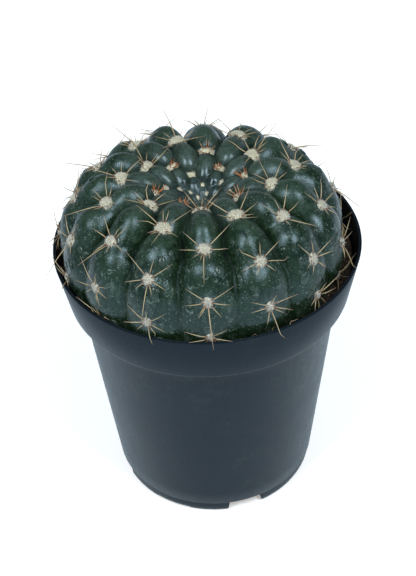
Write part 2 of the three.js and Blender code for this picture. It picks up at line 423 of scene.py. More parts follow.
class ShaderGroups:
    """Shader effects that more than one finish uses, each built once."""

    def __init__(self) -> None:
        """Builds the groups."""
        self.mottle = self._mottle()
        self.specks = self._specks()
        self.drops = self._drops()

    @staticmethod
    def _group(name: str, inputs: dict[str, float],
               *outputs: str) -> tuple[bpy.types.NodeTree, Wiring, bpy.types.NodeOutputs]:
        """Makes a group with its sockets, all of them numbers, and nothing between them.

        Args:
            name: The group's name.
            inputs: Standing value of each input.
            outputs: Names of the outputs.

        Returns:
            The group, its wiring and the sockets that its inputs come in by.
        """
        tree = bpy.data.node_groups.new(name, "ShaderNodeTree")
        for label, value in inputs.items():
            socket = tree.interface.new_socket(label, in_out="INPUT", socket_type="NodeSocketFloat")
            socket.default_value = value
        for label in outputs:
            tree.interface.new_socket(label, in_out="OUTPUT", socket_type="NodeSocketFloat")
        wire = Wiring(tree)
        return tree, wire, wire.add("NodeGroupInput").outputs

    def _mottle(self) -> bpy.types.NodeTree:
        """Soft two-scale cloudiness, 0 to 1.

        Returns:
            The group, with inputs Scale and Contrast and output Value.
        """
        tree, wire, given = self._group("mottle", {"Scale": 100.0, "Contrast": 1.0}, "Value")
        place = wire.place()
        coarse = wire.cloud(place, given["Scale"], detail=4.0, roughness=0.6)
        finer = wire.maths("MULTIPLY", given["Scale"], 4.3)
        fine = wire.cloud(place, finer, detail=3.0, roughness=0.65)
        both = wire.weigh(fine.outputs[0], 0.45, coarse.outputs[0])
        centred = wire.maths("SUBTRACT", both, 0.5)
        spread = wire.maths("MULTIPLY", given["Contrast"], 3.0)
        raised = wire.maths("MULTIPLY_ADD", centred, spread, 0.5)
        value = wire.add("ShaderNodeClamp", {"Value": raised})
        wire.add("NodeGroupOutput", {"Value": value.outputs[0]})
        return tree

    def _specks(self) -> bpy.types.NodeTree:
        """Scattered small round dots as a 0 to 1 mask.

        Returns:
            The group, with inputs Scale, Size and Share and output Mask.
        """
        tree, wire, given = self._group(
            "specks", {"Scale": 1000.0, "Size": 0.3, "Share": 0.3}, "Mask")
        cells = wire.add("ShaderNodeTexVoronoi", {"Vector": wire.place(), "Scale": given["Scale"]})
        core = wire.maths("MULTIPLY", given["Size"], 0.45)
        dot = wire.span(cells.outputs["Distance"], core, given["Size"], 1.0, 0.0)
        pick = wire.add("ShaderNodeSeparateColor", {0: cells.outputs["Color"]})
        kept = wire.maths("LESS_THAN", pick.outputs[0], given["Share"])
        wire.add("NodeGroupOutput", {"Mask": wire.maths("MULTIPLY", dot, kept)})
        return tree

    def _drops(self) -> bpy.types.NodeTree:
        """Scattered uneven drops, each a dome from 0 to 1 and a pale ring, brightest at its lower
        edge as a painted light crescent.

        Returns:
            The group, with inputs Scale and Share and outputs Dome and Edge.
        """
        tree, wire, given = self._group("drops", {"Scale": 300.0, "Share": 0.3}, "Dome", "Edge")
        straight, most = wire.place(), 2.2 * MM
        sway = wire.cloud(straight, 420.0, detail=2.0)
        bent = wire.add("ShaderNodeVectorMath", {
            0: sway.outputs["Color"], 1: (most, most, most), 2: straight},
            operation="MULTIPLY_ADD")
        place = bent.outputs[0]
        cells = wire.add("ShaderNodeTexVoronoi", {
            "Vector": place, "Scale": given["Scale"], "Randomness": 0.9})
        pick = wire.add("ShaderNodeSeparateColor", {0: cells.outputs["Color"]})
        kept = wire.maths("LESS_THAN", pick.outputs[0], given["Share"])
        reach = wire.maths("MULTIPLY_ADD", pick.outputs[1], 0.26, 0.12)
        ratio = wire.maths("DIVIDE", cells.outputs["Distance"], reach)
        dome = wire.span(wire.maths("MULTIPLY", ratio, ratio), 1.0, 0.0)
        ring = wire.span(wire.maths("ABSOLUTE", wire.maths("SUBTRACT", ratio, 0.92)), 0.3, 0.0)
        here = wire.add("ShaderNodeSeparateXYZ", {0: place}).outputs[2]
        middle = wire.add("ShaderNodeSeparateXYZ", {0: cells.outputs["Position"]}).outputs[2]
        below = wire.maths("MULTIPLY", wire.maths("SUBTRACT", middle, here), given["Scale"])
        # Painted light: the ring is brightest at the drop's lower edge, as a crescent.
        edge = wire.maths("MULTIPLY", ring, wire.span(below, -0.12, 0.22, 0.08, 1.0))
        wire.add("NodeGroupOutput", {"Dome": wire.maths("MULTIPLY", dome, kept),
                                     "Edge": wire.maths("MULTIPLY", edge, kept)})
        return tree

    def use_mottle(self, wire: Wiring, scale: float, contrast: float) -> Socket:
        """Places the mottle group in a material.

        Args:
            wire: The material's wiring.
            scale: How fine the cloudiness is.
            contrast: How strongly light and dark part.

        Returns:
            The cloudiness, 0 to 1.
        """
        node = wire.add("ShaderNodeGroup", node_tree=self.mottle)
        node.inputs["Scale"].default_value = scale
        node.inputs["Contrast"].default_value = contrast
        return node.outputs["Value"]

    def use_specks(self, wire: Wiring, scale: float, size: float, share: float) -> Socket:
        """Places the specks group in a material.

        Args:
            wire: The material's wiring.
            scale: Cells in a metre, one dot in each.
            size: A dot's reach, in cells.
            share: Share of the cells with a dot.

        Returns:
            The dots, 0 to 1.
        """
        node = wire.add("ShaderNodeGroup", node_tree=self.specks)
        node.inputs["Scale"].default_value = scale
        node.inputs["Size"].default_value = size
        node.inputs["Share"].default_value = share
        return node.outputs["Mask"]

    def use_drops(self, wire: Wiring, scale: float, share: float) -> tuple[Socket, Socket]:
        """Places the drops group in a material.

        Args:
            wire: The material's wiring.
            scale: Cells in a metre, one drop in each.
            share: Share of the cells with a drop.

        Returns:
            The drops' domes, and their pale rims with a painted light crescent at the lower edge, 0
            to 1.
        """
        node = wire.add("ShaderNodeGroup", node_tree=self.drops)
        node.inputs["Scale"].default_value = scale
        node.inputs["Share"].default_value = share
        return node.outputs["Dome"], node.outputs["Edge"]


GROUPS = ShaderGroups()


def new_finish(name: str, fixed: dict[str, object]) -> tuple[bpy.types.Material, Wiring,
                                                             bpy.types.Node]:
    """Starts a material.

    Args:
        name: The material's name.
        fixed: Values set on the shader's own sockets.

    Returns:
        The material, its wiring and its Principled BSDF.
    """
    material = bpy.data.materials.new(name)
    material.use_nodes = True
    material.node_tree.nodes.clear()
    wire = Wiring(material.node_tree)
    shader = wire.add("ShaderNodeBsdfPrincipled", fixed)
    wire.add("ShaderNodeOutputMaterial", {"Surface": shader.outputs[0]})
    return material, wire, shader


# ---------------------------------------------------------------- finishes


@dataclass(frozen=True)
class PotPlastic:
    """Satin black polypropylene with a blue-grey cast, drawing lines and dusty water marks."""

    base: Colour = (0.0052, 0.0086, 0.0120)
    worn: Colour = (0.0074, 0.0112, 0.0154)
    dust: Colour = (0.0650, 0.0740, 0.0700)
    roughness_low: float = 0.25
    roughness_high: float = 0.36
    patch_middle: tuple[float, float, float] = (44 * MM, -26 * MM, 78 * MM)
    patch_reach: float = 34 * MM

    def material(self) -> bpy.types.Material:
        """Builds the material.

        Returns:
            The material, ready to assign.
        """
        made, wire, shader = new_finish("pot_plastic", {
            "IOR": 1.38, "Specular IOR Level": 0.25, "Specular Tint": (0.64, 0.84, 1.0, 1.0)})
        cloud, place = GROUPS.use_mottle(wire, scale=60.0, contrast=0.7), wire.place()
        lines = wire.cloud(wire.stretched((1.0, 1.0, 0.06)), 900.0, detail=3.0, roughness=0.6)
        gap = wire.add("ShaderNodeVectorMath", {0: place, 1: self.patch_middle},
                       operation="DISTANCE")
        near = wire.span(gap.outputs["Value"], self.patch_reach, 0.0)
        everywhere = wire.span(GROUPS.use_mottle(wire, scale=25.0, contrast=1.2),
                               0.6, 0.95, 0.0, 0.3)
        where = wire.maths("MAXIMUM", near, everywhere)
        dust = GROUPS.use_specks(wire, scale=620.0, size=0.42, share=0.5)
        film = wire.span(GROUPS.use_mottle(wire, scale=330.0, contrast=1.5), 0.35, 0.8)
        dusty = wire.maths("MULTIPLY", where, wire.maths("MULTIPLY_ADD", dust, 0.35,
                                                         wire.maths("MULTIPLY", film, 0.35)))
        colour = wire.mix(cloud, self.base, self.worn)
        wire.feed(shader, "Base Color", wire.mix(dusty, colour, self.dust))
        rough = wire.weigh(lines.outputs[0], 0.6, cloud)
        wire.feed(shader, "Roughness",
                  wire.span(rough, 0.3, 0.7, self.roughness_low, self.roughness_high))
        grain = wire.cloud(place, 2600.0, detail=2.0)
        height = wire.maths("MULTIPLY_ADD", lines.outputs[0], 0.5, grain.outputs[0])
        wire.bump(shader, height, strength=0.12, distance=0.05 * MM)
        return made


@dataclass(frozen=True)
class CactusSkin:
    """Waxy dark blue-green skin: darker mottling, a greyer bloom on the crests that is partly
    painted sheen, pale specks, pale drop marks with painted light crescents, and painted shade in
    the furrows, in the crown's middle and on the lower flank.
    """

    # deep is the skin's darkest mottling, and also the painted shade in furrows, creases, the
    # crown's middle and the lower flank.
    deep: Colour = (0.0036, 0.0105, 0.0034)
    green: Colour = (0.0105, 0.0250, 0.0090)
    # bloom: the paler colour on the crests, partly real wax and partly painted sheen.
    bloom: Colour = (0.0190, 0.0350, 0.0215)
    fresh: Colour = (0.0345, 0.0520, 0.0400)
    bud: Colour = (0.0050, 0.0115, 0.0088)
    halo: Colour = (0.0750, 0.1050, 0.1050)
    speck: Colour = (0.1500, 0.2000, 0.1600)
    scar: Colour = (0.0600, 0.0850, 0.0680)
    # mark: pale drop marks, partly dried water and partly painted light at each drop's lower edge.
    mark: Colour = (0.1200, 0.1600, 0.1400)
    roughness_low: float = 0.20
    roughness_high: float = 0.37

    def material(self) -> bpy.types.Material:
        """Builds the material.

        Returns:
            The material, ready to assign.
        """
        made, wire, shader = new_finish("cactus_skin", {
            "IOR": 1.42, "Specular IOR Level": 0.5, "Specular Tint": (0.65, 0.86, 1.0, 1.0),
            "Coat Roughness": 0.22, "Coat IOR": 1.4})
        hollow, age, wet = (wire.mark(m) for m in (Mark.HOLLOW, Mark.AGE, Mark.WET))
        coarse = GROUPS.use_mottle(wire, scale=85.0, contrast=1.7)
        fine = GROUPS.use_mottle(wire, scale=420.0, contrast=1.5)
        dome, edge = self.drops(wire, wet)
        colour = self.flesh(wire, coarse, fine)
        colour = wire.mix(self.scars(wire, wet), colour, self.scar)
        ring = wire.maths("MULTIPLY", wire.mark(Mark.HALO), wire.span(fine, 0.2, 0.8, 0.2, 0.75))
        colour = wire.mix(ring, colour, self.halo)
        colour = wire.mix(self.dots(wire, age), colour, self.speck)
        # Pale drop marks: partly dried water, and a painted light crescent at each drop's lower
        # edge.
        colour = wire.mix(edge, colour, self.mark)
        # Painted shade: the deep colour mixed in where the skin lies in a furrow or a crease
        # between tubercles, and in the crown's sunken middle.
        shadow = wire.span(hollow, 0.35, 0.8, 0.0, 0.9)
        wire.feed(shader, "Base Color", wire.mix(shadow, colour, self.deep))
        cloudy = wire.weigh(fine, 0.6, coarse)
        rough = wire.span(cloudy, 0.2, 0.8, self.roughness_low, self.roughness_high)
        rough = wire.maths("MULTIPLY", rough, wire.span(dome, 0.0, 0.4, 1.0, 0.45))
        wire.feed(shader, "Roughness", wire.maths(
            "MAXIMUM", rough, wire.span(hollow, 0.4, 0.7, 0.0, 0.8)))
        glazed = wire.span(age, 0.7, 0.0, 0.0, 0.22)
        wire.feed(shader, "Coat Weight",
                  wire.maths("MULTIPLY", glazed, wire.span(hollow, 0.7, 0.3)))
        pores = wire.cloud(wire.place(), 1500.0, detail=3.0, roughness=0.6)
        dimples = wire.maths("ADD", fine, pores.outputs[0])
        dimples = wire.maths("MULTIPLY", dimples, wire.span(age, 0.25, 0.8, 0.12, 0.65))
        height = wire.maths("MULTIPLY_ADD", dome, 3.0, dimples)
        wire.bump(shader, height, strength=0.4, distance=0.12 * MM)
        return made

    def flesh(self, wire: Wiring, coarse: Socket, fine: Socket) -> Socket:
        """Colour of the bare skin: mottled green, a paler bloom on the crests that is partly
        painted sheen, painted shade on the lower flank, frosted when young.

        Args:
            wire: The material's wiring.
            coarse: Coarse cloudiness.
            fine: Fine cloudiness.

        Returns:
            The colour.
        """
        hollow, age, wet = (wire.mark(m) for m in (Mark.HOLLOW, Mark.AGE, Mark.WET))
        blotch = wire.span(wire.weigh(fine, 0.35, coarse), 0.2, 0.75)
        colour = wire.mix(blotch, self.deep, self.green)
        # A paler grey bloom on the crests, partly real wax and partly painted sheen.
        crest = wire.span(hollow, 0.5, 0.02)
        wax_and_sheen = wire.maths("MULTIPLY", crest, wire.span(coarse, 0.3, 0.85, 0.0, 0.65))
        # Painted shade on the lower flank: less bloom there, and the deep colour mixed in, by the
        # wet band's mask.
        wax_and_sheen = wire.maths("MULTIPLY", wax_and_sheen, wire.span(wet, 0.2, 1.0, 1.0, 0.6))
        colour = wire.mix(wax_and_sheen, colour, self.bloom)
        colour = wire.mix(wire.span(wet, 0.3, 1.0, 0.0, 0.4), colour, self.deep)
        frosted = wire.maths("MULTIPLY", wire.span(age, 1.0, 0.3, 0.0, 0.95),
                             wire.span(fine, 0.25, 0.75, 0.5, 1.0))
        colour = wire.mix(frosted, colour, self.fresh)
        return wire.mix(wire.span(age, 0.16, 0.03, 0.0, 0.9), colour, self.bud)

    @staticmethod
    def scars(wire: Wiring, wet: Socket) -> Socket:
        """Mask of the dried runs of water, drawn out downwards.

        Args:
            wire: The material's wiring.
            wet: How wet the skin is.

        Returns:
            The mask.
        """
        streaks = wire.cloud(wire.stretched((1.0, 1.0, 0.3)), 330.0, detail=4.0, roughness=0.65)
        return wire.maths("MULTIPLY", wire.span(streaks.outputs[0], 0.56, 0.74),
                          wire.maths("MULTIPLY", wet, 0.75))

    @staticmethod
    def dots(wire: Wiring, age: Socket) -> Socket:
        """Mask of the skin's own pale dots, more of them with age, and of fine dust.

        Args:
            wire: The material's wiring.
            age: The skin's age.

        Returns:
            The mask.
        """
        grown = wire.span(age, 0.1, 0.7, 0.2, 0.6)
        dots = GROUPS.use_specks(wire, scale=800.0, size=0.24, share=0.5)
        dust = GROUPS.use_specks(wire, scale=1700.0, size=0.38, share=0.45)
        return wire.maths("MAXIMUM", wire.maths("MULTIPLY", dots, grown),
                          wire.maths("MULTIPLY", dust, 0.18))

    @staticmethod
    def drops(wire: Wiring, wet: Socket) -> tuple[Socket, Socket]:
        """Domes of the drops, large and small, and their pale rims, brightest at the lower edge as
        painted light crescents.

        Args:
            wire: The material's wiring.
            wet: How wet the skin is.

        Returns:
            The domes, and the rims with their painted light crescents.
        """
        large = GROUPS.use_drops(wire, scale=280.0, share=0.55)
        small = GROUPS.use_drops(wire, scale=640.0, share=0.38)
        dome, edge = (wire.maths("MAXIMUM", *pair) for pair in zip(large, small))
        return (wire.maths("MULTIPLY", dome, wet),
                wire.maths("MULTIPLY", edge, wire.maths("MULTIPLY", wet, 0.75)))


@dataclass(frozen=True)
class Felt:
    """Cream wool of the areoles, greyer with age, with painted shade in brown between its clumps.
    """

    young: Colour = (0.650, 0.615, 0.470)
    old: Colour = (0.505, 0.488, 0.415)
    # root: the brown of the painted shade between the clumps.
    root: Colour = (0.330, 0.270, 0.180)

    def material(self) -> bpy.types.Material:
        """Builds the material.

        Returns:
            The material, ready to assign.
        """
        made, wire, shader = new_finish("areole_felt", {
            "Roughness": 0.9, "Specular IOR Level": 0.15, "Subsurface Weight": 0.25,
            "Subsurface Radius": (0.6 * MM, 0.5 * MM, 0.35 * MM), "Subsurface Scale": 1.0})
        clump = GROUPS.use_mottle(wire, scale=900.0, contrast=1.3)
        colour = wire.mix(wire.mark(Mark.AGE), self.young, self.old)
        # Painted shade: the brown mixed in where the clump cloud is low, between the wool's clumps.
        shade = wire.mix(wire.span(clump, 0.0, 0.4, 0.5, 0.0), colour, self.root)
        wire.feed(shader, "Base Color", shade)
        return made


@dataclass(frozen=True)
class SpineHorn:
    """Straw-coloured spine, red-brown at its root and tip, and orange-brown when young."""

    root: Colour = (0.150, 0.060, 0.030)
    straw: Colour = (0.290, 0.215, 0.098)
    pale: Colour = (0.350, 0.280, 0.175)
    tip: Colour = (0.190, 0.120, 0.090)
    young: Colour = (0.400, 0.105, 0.010)

    def material(self) -> bpy.types.Material:
        """Builds the material.

        Returns:
            The material, ready to assign.
        """
        made, wire, shader = new_finish("spine_horn", {
            "Roughness": 0.42, "Specular IOR Level": 0.45, "IOR": 1.5})
        root, tip, tint, age = (wire.mark(m) for m in (Mark.ROOT, Mark.TIP, Mark.TINT, Mark.AGE))
        streak = GROUPS.use_mottle(wire, scale=700.0, contrast=1.0)
        middle = wire.mix(wire.weigh(streak, 0.4, tint), self.straw, self.pale)
        low = wire.mix(root, middle, self.root)
        whole = wire.mix(wire.maths("MULTIPLY", tip, 0.85), low, self.tip)
        wire.feed(shader, "Base Color", wire.mix(wire.span(age, 0.19, 0.06), whole, self.young))
        return made


@dataclass(frozen=True)
class Water:
    """Still water in low beads, through which the skin below shows a little paler."""

    deep: Colour = (0.0120, 0.0240, 0.0170)
    pale: Colour = (0.0380, 0.0580, 0.0480)

    def material(self) -> bpy.types.Material:
        """Builds the material.

        Returns:
            The material, ready to assign.
        """
        made, wire, shader = new_finish("water", {"IOR": 1.33})
        cloud = GROUPS.use_mottle(wire, scale=380.0, contrast=1.4)
        wire.feed(shader, "Base Color", wire.mix(cloud, self.deep, self.pale))
        wire.feed(shader, "Roughness", wire.span(cloud, 0.2, 0.8, 0.05, 0.14))
        return made


@dataclass(frozen=True)
class PottingMix:
    """Dark peat and bark, with paler crumbs here and there."""

    peat: Colour = (0.0170, 0.0120, 0.0085)
    bark: Colour = (0.0650, 0.0400, 0.0230)
    tan: Colour = (0.2600, 0.1900, 0.1200)

    def material(self) -> bpy.types.Material:
        """Builds the material.

        Returns:
            The material, ready to assign.
        """
        made, wire, shader = new_finish("potting_mix", {"Specular IOR Level": 0.3})
        crumb = GROUPS.use_mottle(wire, scale=500.0, contrast=1.6)
        shade = wire.mark(Mark.SHADE)
        colour = wire.mix(wire.span(crumb, 0.25, 0.85), self.peat, self.bark)
        pale = wire.maths("MULTIPLY", wire.span(shade, 0.9, 0.97),
                          wire.span(crumb, 0.1, 0.6, 0.4, 1.0))
        wire.feed(shader, "Base Color", wire.mix(pale, colour, self.tan))
        wire.feed(shader, "Roughness", wire.span(crumb, 0.2, 0.8, 0.95, 0.7))
        grit = wire.cloud(wire.place(), 1400.0, detail=5.0, roughness=0.7)
        wire.bump(shader, grit.outputs[0], strength=0.9, distance=0.35 * MM)
        return made


@dataclass(frozen=True)
class StudioPaper:
    """Matt near-white paper that shines a little, so that it looks evenly lit: glow is what falls
    on the plant and pot, seen_glow and far_glow are what shows near them and far from them."""

    base: Colour = (0.850, 0.880, 0.900)
    shade: Colour = (0.830, 0.860, 0.880)
    glow: Colour = (0.10, 0.33, 0.52)
    seen_glow: Colour = (1.36, 1.26, 1.17)
    far_glow: Colour = (2.7, 2.6, 2.5)
    near: float = 0.15
    far: float = 1.3

    def material(self) -> bpy.types.Material:
        """Builds the material.

        Returns:
            The material, ready to assign.
        """
        made, wire, shader = new_finish("studio_paper", {
            "Roughness": 0.9, "Specular IOR Level": 0.1, "Emission Strength": 0.27})
        seen = wire.add("ShaderNodeLightPath").outputs["Is Camera Ray"]
        away = wire.add("ShaderNodeVectorMath", {0: wire.place()}, operation="LENGTH")
        distance = wire.span(away.outputs["Value"], self.near, self.far)
        shown = wire.mix(distance, self.seen_glow, self.far_glow)
        wire.feed(shader, "Emission Color", wire.mix(seen, self.glow, shown))
        cloud = GROUPS.use_mottle(wire, scale=8.0, contrast=0.5)
        wire.feed(shader, "Base Color", wire.mix(cloud, self.base, self.shade))
        return made


# ---------------------------------------------------------------- how the plant grows


@dataclass(frozen=True)
class Areole:
    """One areole: its rib, its distance from the crown, which is its age, and how it faces."""

    rib: int
    distance: float
    place: Vector
    down: Vector
    side: Vector
    out: Vector


@dataclass
class Growth:
    """The plant's crest line, its ribs, and where the areoles sit on them."""

    ribs: int = 15
    first_rib_turn: float = math.radians(1.4)
    offset: Pair = (-1.8 * MM, -3.2 * MM)
    lean_back: float = math.radians(-4.0)
    lean_side: float = math.radians(-0.8)
    back_drift: float = math.radians(7.2)
    drift_start: float = 20 * MM
    drift_end: float = 42 * MM
    crest_mm: tuple[tuple[float, float], ...] = (
        (0, 17), (8.5, 21), (17, 26.7), (25, 30), (33.5, 30.2), (41, 27), (48, 22), (53, 14),
        (54.5, 4.5), (54, -3), (51.5, -11), (44, -21), (32, -29), (20, -36), (13, -44), (11, -54))
    areole_distances_mm: tuple[float, ...] = (2, 10, 25, 46, 65, 80.5, 97, 112)
    rib_growth: tuple[float, ...] = (
        0.99, 0.42, 0.86, 0.31, 0.73, 0.16, 0.49, 0.9, 0.26, 0.63, 0.02, 0.35, 0.71, 0.17, 0.62)
    first_areole: float = 4.0 * MM
    last_areole: float = 92.0 * MM
    curve_steps: int = 60
    rim_height: float = field(default_factory=lambda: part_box("pot")[1].z)

    def __post_init__(self) -> None:
        """Works out the crest line by length, and the plant's place in the pot."""
        line = catmull_rom(np.array(self.crest_mm) * MM, self.curve_steps)
        lengths = np.concatenate([[0], np.cumsum(np.linalg.norm(np.diff(line, axis=0), axis=1))])
        along = np.gradient(line, lengths, axis=0)
        along /= np.linalg.norm(along, axis=1, keepdims=True)
        self.line, self.lengths, self.along = line, lengths, along
        self.length = float(lengths[-1])
        turn = (Matrix.Rotation(self.lean_side, 4, "Y") @ Matrix.Rotation(self.lean_back, 4, "X"))
        self.frame = Matrix.Translation((*self.offset, self.rim_height)) @ turn

    def crest(self, distance: np.ndarray | float) -> tuple[np.ndarray, np.ndarray, np.ndarray]:
        """Crest line at distances from the crown.

        Args:
            distance: Length along the crest from the crown.

        Returns:
            Points, directions along the line, and outward normals, as radius and height.
        """
        point = np.stack([np.interp(distance, self.lengths, self.line[:, i]) for i in (0, 1)], -1)
        along = np.stack([np.interp(distance, self.lengths, self.along[:, i]) for i in (0, 1)], -1)
        return point, along, np.stack([-along[..., 1], along[..., 0]], -1)

    def rib_heading(self, turn: np.ndarray | float, distance: np.ndarray | float) -> np.ndarray:
        """Direction away from the plant's axis; the ribs at the back bend on the shoulder.

        Args:
            turn: How many ribs round from the first.
            distance: Distance from the crown.

        Returns:
            Unit vectors in the plant's frame.
        """
        angle = self.first_rib_turn + np.asarray(turn) * 2 * math.pi / self.ribs
        back = ((1 - np.cos(angle)) / 2) ** 2
        return heading(angle + self.back_drift * back
                       * smoothstep(distance, self.drift_start, self.drift_end))

    def areole_distance(self, count: float) -> float:
        """Distance from the crown of an areole at a growth count."""
        steps = np.arange(len(self.areole_distances_mm))
        return float(np.interp(count, steps, self.areole_distances_mm)) * MM

    def growth_count(self, distance: np.ndarray | float) -> np.ndarray:
        """Growth count, a whole number at each areole, at distances from the crown."""
        steps = np.arange(len(self.areole_distances_mm))
        return np.interp(np.asarray(distance) / MM, self.areole_distances_mm, steps)

    def areoles(self) -> list[Areole]:
        """Every areole that is far enough from the crown and still above the soil, rib by rib.

        Returns:
            The areoles in the pot's frame.
        """
        found = []
        for rib, growth in enumerate(self.rib_growth):
            for step in range(len(self.areole_distances_mm) - 1):
                distance = self.areole_distance(step + growth)
                if self.first_areole <= distance <= self.last_areole:
                    found.append(self._areole(rib, distance))
        return found

    def _areole(self, rib: int, distance: float) -> Areole:
        """The areole of a rib at a distance from the crown.

        Args:
            rib: The rib's number.
            distance: Distance from the crown.

        Returns:
            The areole in the pot's frame.
        """
        point, along, normal = self.crest(distance)
        outwards = Vector(self.rib_heading(rib, distance))
        up = Vector((0, 0, 1))
        turn = self.frame.to_3x3()
        down = turn @ (outwards * float(along[0]) + up * float(along[1]))
        out = turn @ (outwards * float(normal[0]) + up * float(normal[1]))
        place = self.frame @ (outwards * float(point[0]) + up * float(point[1]))
        return Areole(rib, distance, place, down.normalized(), out.cross(down).normalized(),
                      out.normalized())


# ---------------------------------------------------------------- cactus body


@dataclass
class CactusBody:
    """The ribbed skin, from the sunken crown to the root neck."""

    growth: Growth
    points_per_rib: int = 40
    first_ring: float = 0.8 * MM
    crown_ring_gap: float = 0.55 * MM
    ring_gap: float = 0.85 * MM
    fine_until: float = 32.0 * MM
    buried_ring_gap: float = 4.0 * MM
    buried_from: float = 106.0 * MM
    furrow_depth: float = 7.8 * MM
    furrow_slope: float = 0.40
    mound_height: float = 3.6 * MM
    crown_slope: float = 0.24
    crown_mound_slope: float = 0.38
    crown_mound_height: float = 4.0 * MM
    crown_widths: tuple[float, ...] = (2.20, 1.74, 1.30)
    crown_width_stations_mm: tuple[float, ...] = (8.0, 16.0, 34.0)
    egg_length_power: float = 2.3
    egg_width_power: float = 2.2
    egg_valley_slope: float = 2.0 * MM
    young_until: Pair = (22 * MM, 42 * MM)
    flank_from: Pair = (40 * MM, 75 * MM)
    furrows_fade: Pair = (50 * MM, 98 * MM)
    furrows_end: Pair = (104 * MM, 140 * MM)
    mounds_rise: Pair = (0.0, 9 * MM)
    mounds_fade: Pair = (34 * MM, 68 * MM)
    mounds_end: Pair = (88 * MM, 100 * MM)
    faded_furrow: float = 0.16
    faded_mound: float = 0.15
    swell_power: Pair = (1.25, 1.85)
    waist: float = 0.22
    blunt: Pair = (0.99, 0.86)
    crest_power: float = 2.3
    furrow_edge: float = 0.985
    blend_width: Pair = (0.22 * MM, 0.47 * MM)
    blend_widens: Pair = (50 * MM, 80 * MM)
    sunken_middle: Pair = (4 * MM, 11 * MM)
    middle_painted_shade: float = 0.6
    ripple: float = 0.35 * MM
    ripples_per_metre: Pair = (95.0, 240.0)
    ripples_from: Pair = (12 * MM, 40 * MM)
    wet_from: Pair = (34 * MM, 60 * MM)
    wet_until: Pair = (86 * MM, 94 * MM)
    grown_up: Pair = (6 * MM, 46 * MM)
    halo_reach: Pair = (1.5 * MM, 5.0 * MM)

    def tubercle(self, step: np.ndarray, distance: np.ndarray, across: np.ndarray,
                 radius: np.ndarray) -> tuple[np.ndarray, np.ndarray]:
        """Rise of a young rib, a row of egg-shaped tubercles with creases between them.

        Args:
            step: Place between two areoles, 0 at one and 1 at the next.
            distance: Distance from the crown.
            across: Place across the rib.
            radius: The crest line's radius.

        Returns:
            The rise from the crest line, and how far down its side the place is from 0 to 1.
        """
        depth = radius * self.crown_slope
        mound = np.minimum(self.crown_mound_height, radius * self.crown_mound_slope)
        whole = depth + mound + 0.01 * MM
        share = 1 - (depth / whole) ** 2
        width = np.interp(distance / MM, self.crown_width_stations_mm, self.crown_widths)
        filled = (share * np.abs(2 * step - 1) ** self.egg_length_power
                  + (np.abs(across) / width) ** self.egg_width_power)
        rise = whole * np.sqrt(np.clip(1 - filled, 0.0, 1.0)) - depth
        rise = rise - self.egg_valley_slope * np.maximum(filled - 1, 0.0)
        return rise, np.clip(1.5 * (1 - rise / (mound + 0.01 * MM)) - 0.05, 0.0, 1.0)

    def rib_rise(self, rib: np.ndarray, distance: np.ndarray, across: np.ndarray,
                 radius: np.ndarray) -> tuple[np.ndarray, np.ndarray]:
        """How far one rib's skin stands from the crest line.

        Args:
            rib: Rib numbers.
            distance: Distances from the crown.
            across: Places across the rib, -1 and 1 at its furrows, beyond them under its
                neighbours.
            radius: The crest line's radius.

        Returns:
            The rise, and how deep in the furrow the place is from 0 to 1.
        """
        growth = self.growth
        phase = np.array(growth.rib_growth)[rib % growth.ribs]
        count = growth.growth_count(distance) - phase
        wave = np.abs(np.sin(np.pi * count))
        young = 1 - smoothstep(distance, *self.young_until)
        flank = smoothstep(distance, *self.flank_from)
        swell = wave ** np.interp(flank, (0, 1), self.swell_power)
        width = 1 + self.waist * (1 - flank) * (swell - 0.5)
        reach = np.abs(across) / width
        fade = 1 - smoothstep(distance, *self.furrows_fade)
        depth = np.minimum(self.furrow_depth, radius * self.furrow_slope)
        depth = depth * (self.faded_furrow + (1 - self.faded_furrow) * fade)
        depth = depth * (1 - smoothstep(distance, *self.furrows_end))
        reached = np.minimum(reach * np.interp(flank, (0, 1), self.blunt), 0.999)
        roundness = 1 - np.sqrt(1 - reached ** self.crest_power)
        at_edge = 1 - math.sqrt(1 - self.furrow_edge ** self.crest_power)
        furrow = roundness / at_edge + 1.4 * np.maximum(reach - 1.0, 0.0)
        height = self.mound_height * smoothstep(distance, *self.mounds_rise)
        height = height * (1 - (1 - self.faded_mound) * smoothstep(distance, *self.mounds_fade))
        height = height * (1 - smoothstep(distance, *self.mounds_end))
        grown = height * swell * np.maximum(1 - reach * reach, -0.3) - depth * furrow
        egg, egg_side = self.tubercle(np.mod(count, 1.0), distance, across, radius)
        rise = grown + (egg - grown) * young
        hollow = np.clip(-rise / np.maximum(depth, 0.5 * MM), 0.0, 1.0)
        hollow = hollow * np.clip(depth / (3 * MM), 0.25, 1.0)
        return rise, hollow + (egg_side - hollow) * young

    def surface(self) -> tuple[np.ndarray, dict[Mark, np.ndarray]]:
        """Works out the skin's grid.

        Returns:
            Points by ring and place around, and the values that they carry.
        """
        growth = self.growth
        crown = np.arange(self.first_ring, self.fine_until, self.crown_ring_gap)
        flank = np.arange(self.fine_until, self.buried_from, self.ring_gap)
        buried = np.arange(self.buried_from, growth.length, self.buried_ring_gap)
        distance = np.concatenate([crown, flank, buried, [growth.length]])
        around = growth.ribs * self.points_per_rib
        turn = np.arange(around) / self.points_per_rib
        spread, spot = np.meshgrid(distance, turn, indexing="ij")
        point, _, normal = growth.crest(spread)
        radius = point[..., 0]
        nearest = np.floor(spot).astype(int)
        rises, depths = zip(*(
            self.rib_rise(nearest + step, spread, 2 * (spot - nearest - step), radius)
            for step in (-1, 0, 1, 2)))
        rises, depths = np.array(rises), np.array(depths)
        narrow, wide = self.blend_width
        sharp = narrow + (wide - narrow) * smoothstep(spread, *self.blend_widens)
        highest = rises.max(axis=0)
        rise = highest + sharp * np.log(np.exp((rises - highest) / sharp).sum(axis=0))
        hollow = np.take_along_axis(depths, rises.argmax(axis=0)[None], axis=0)[0]
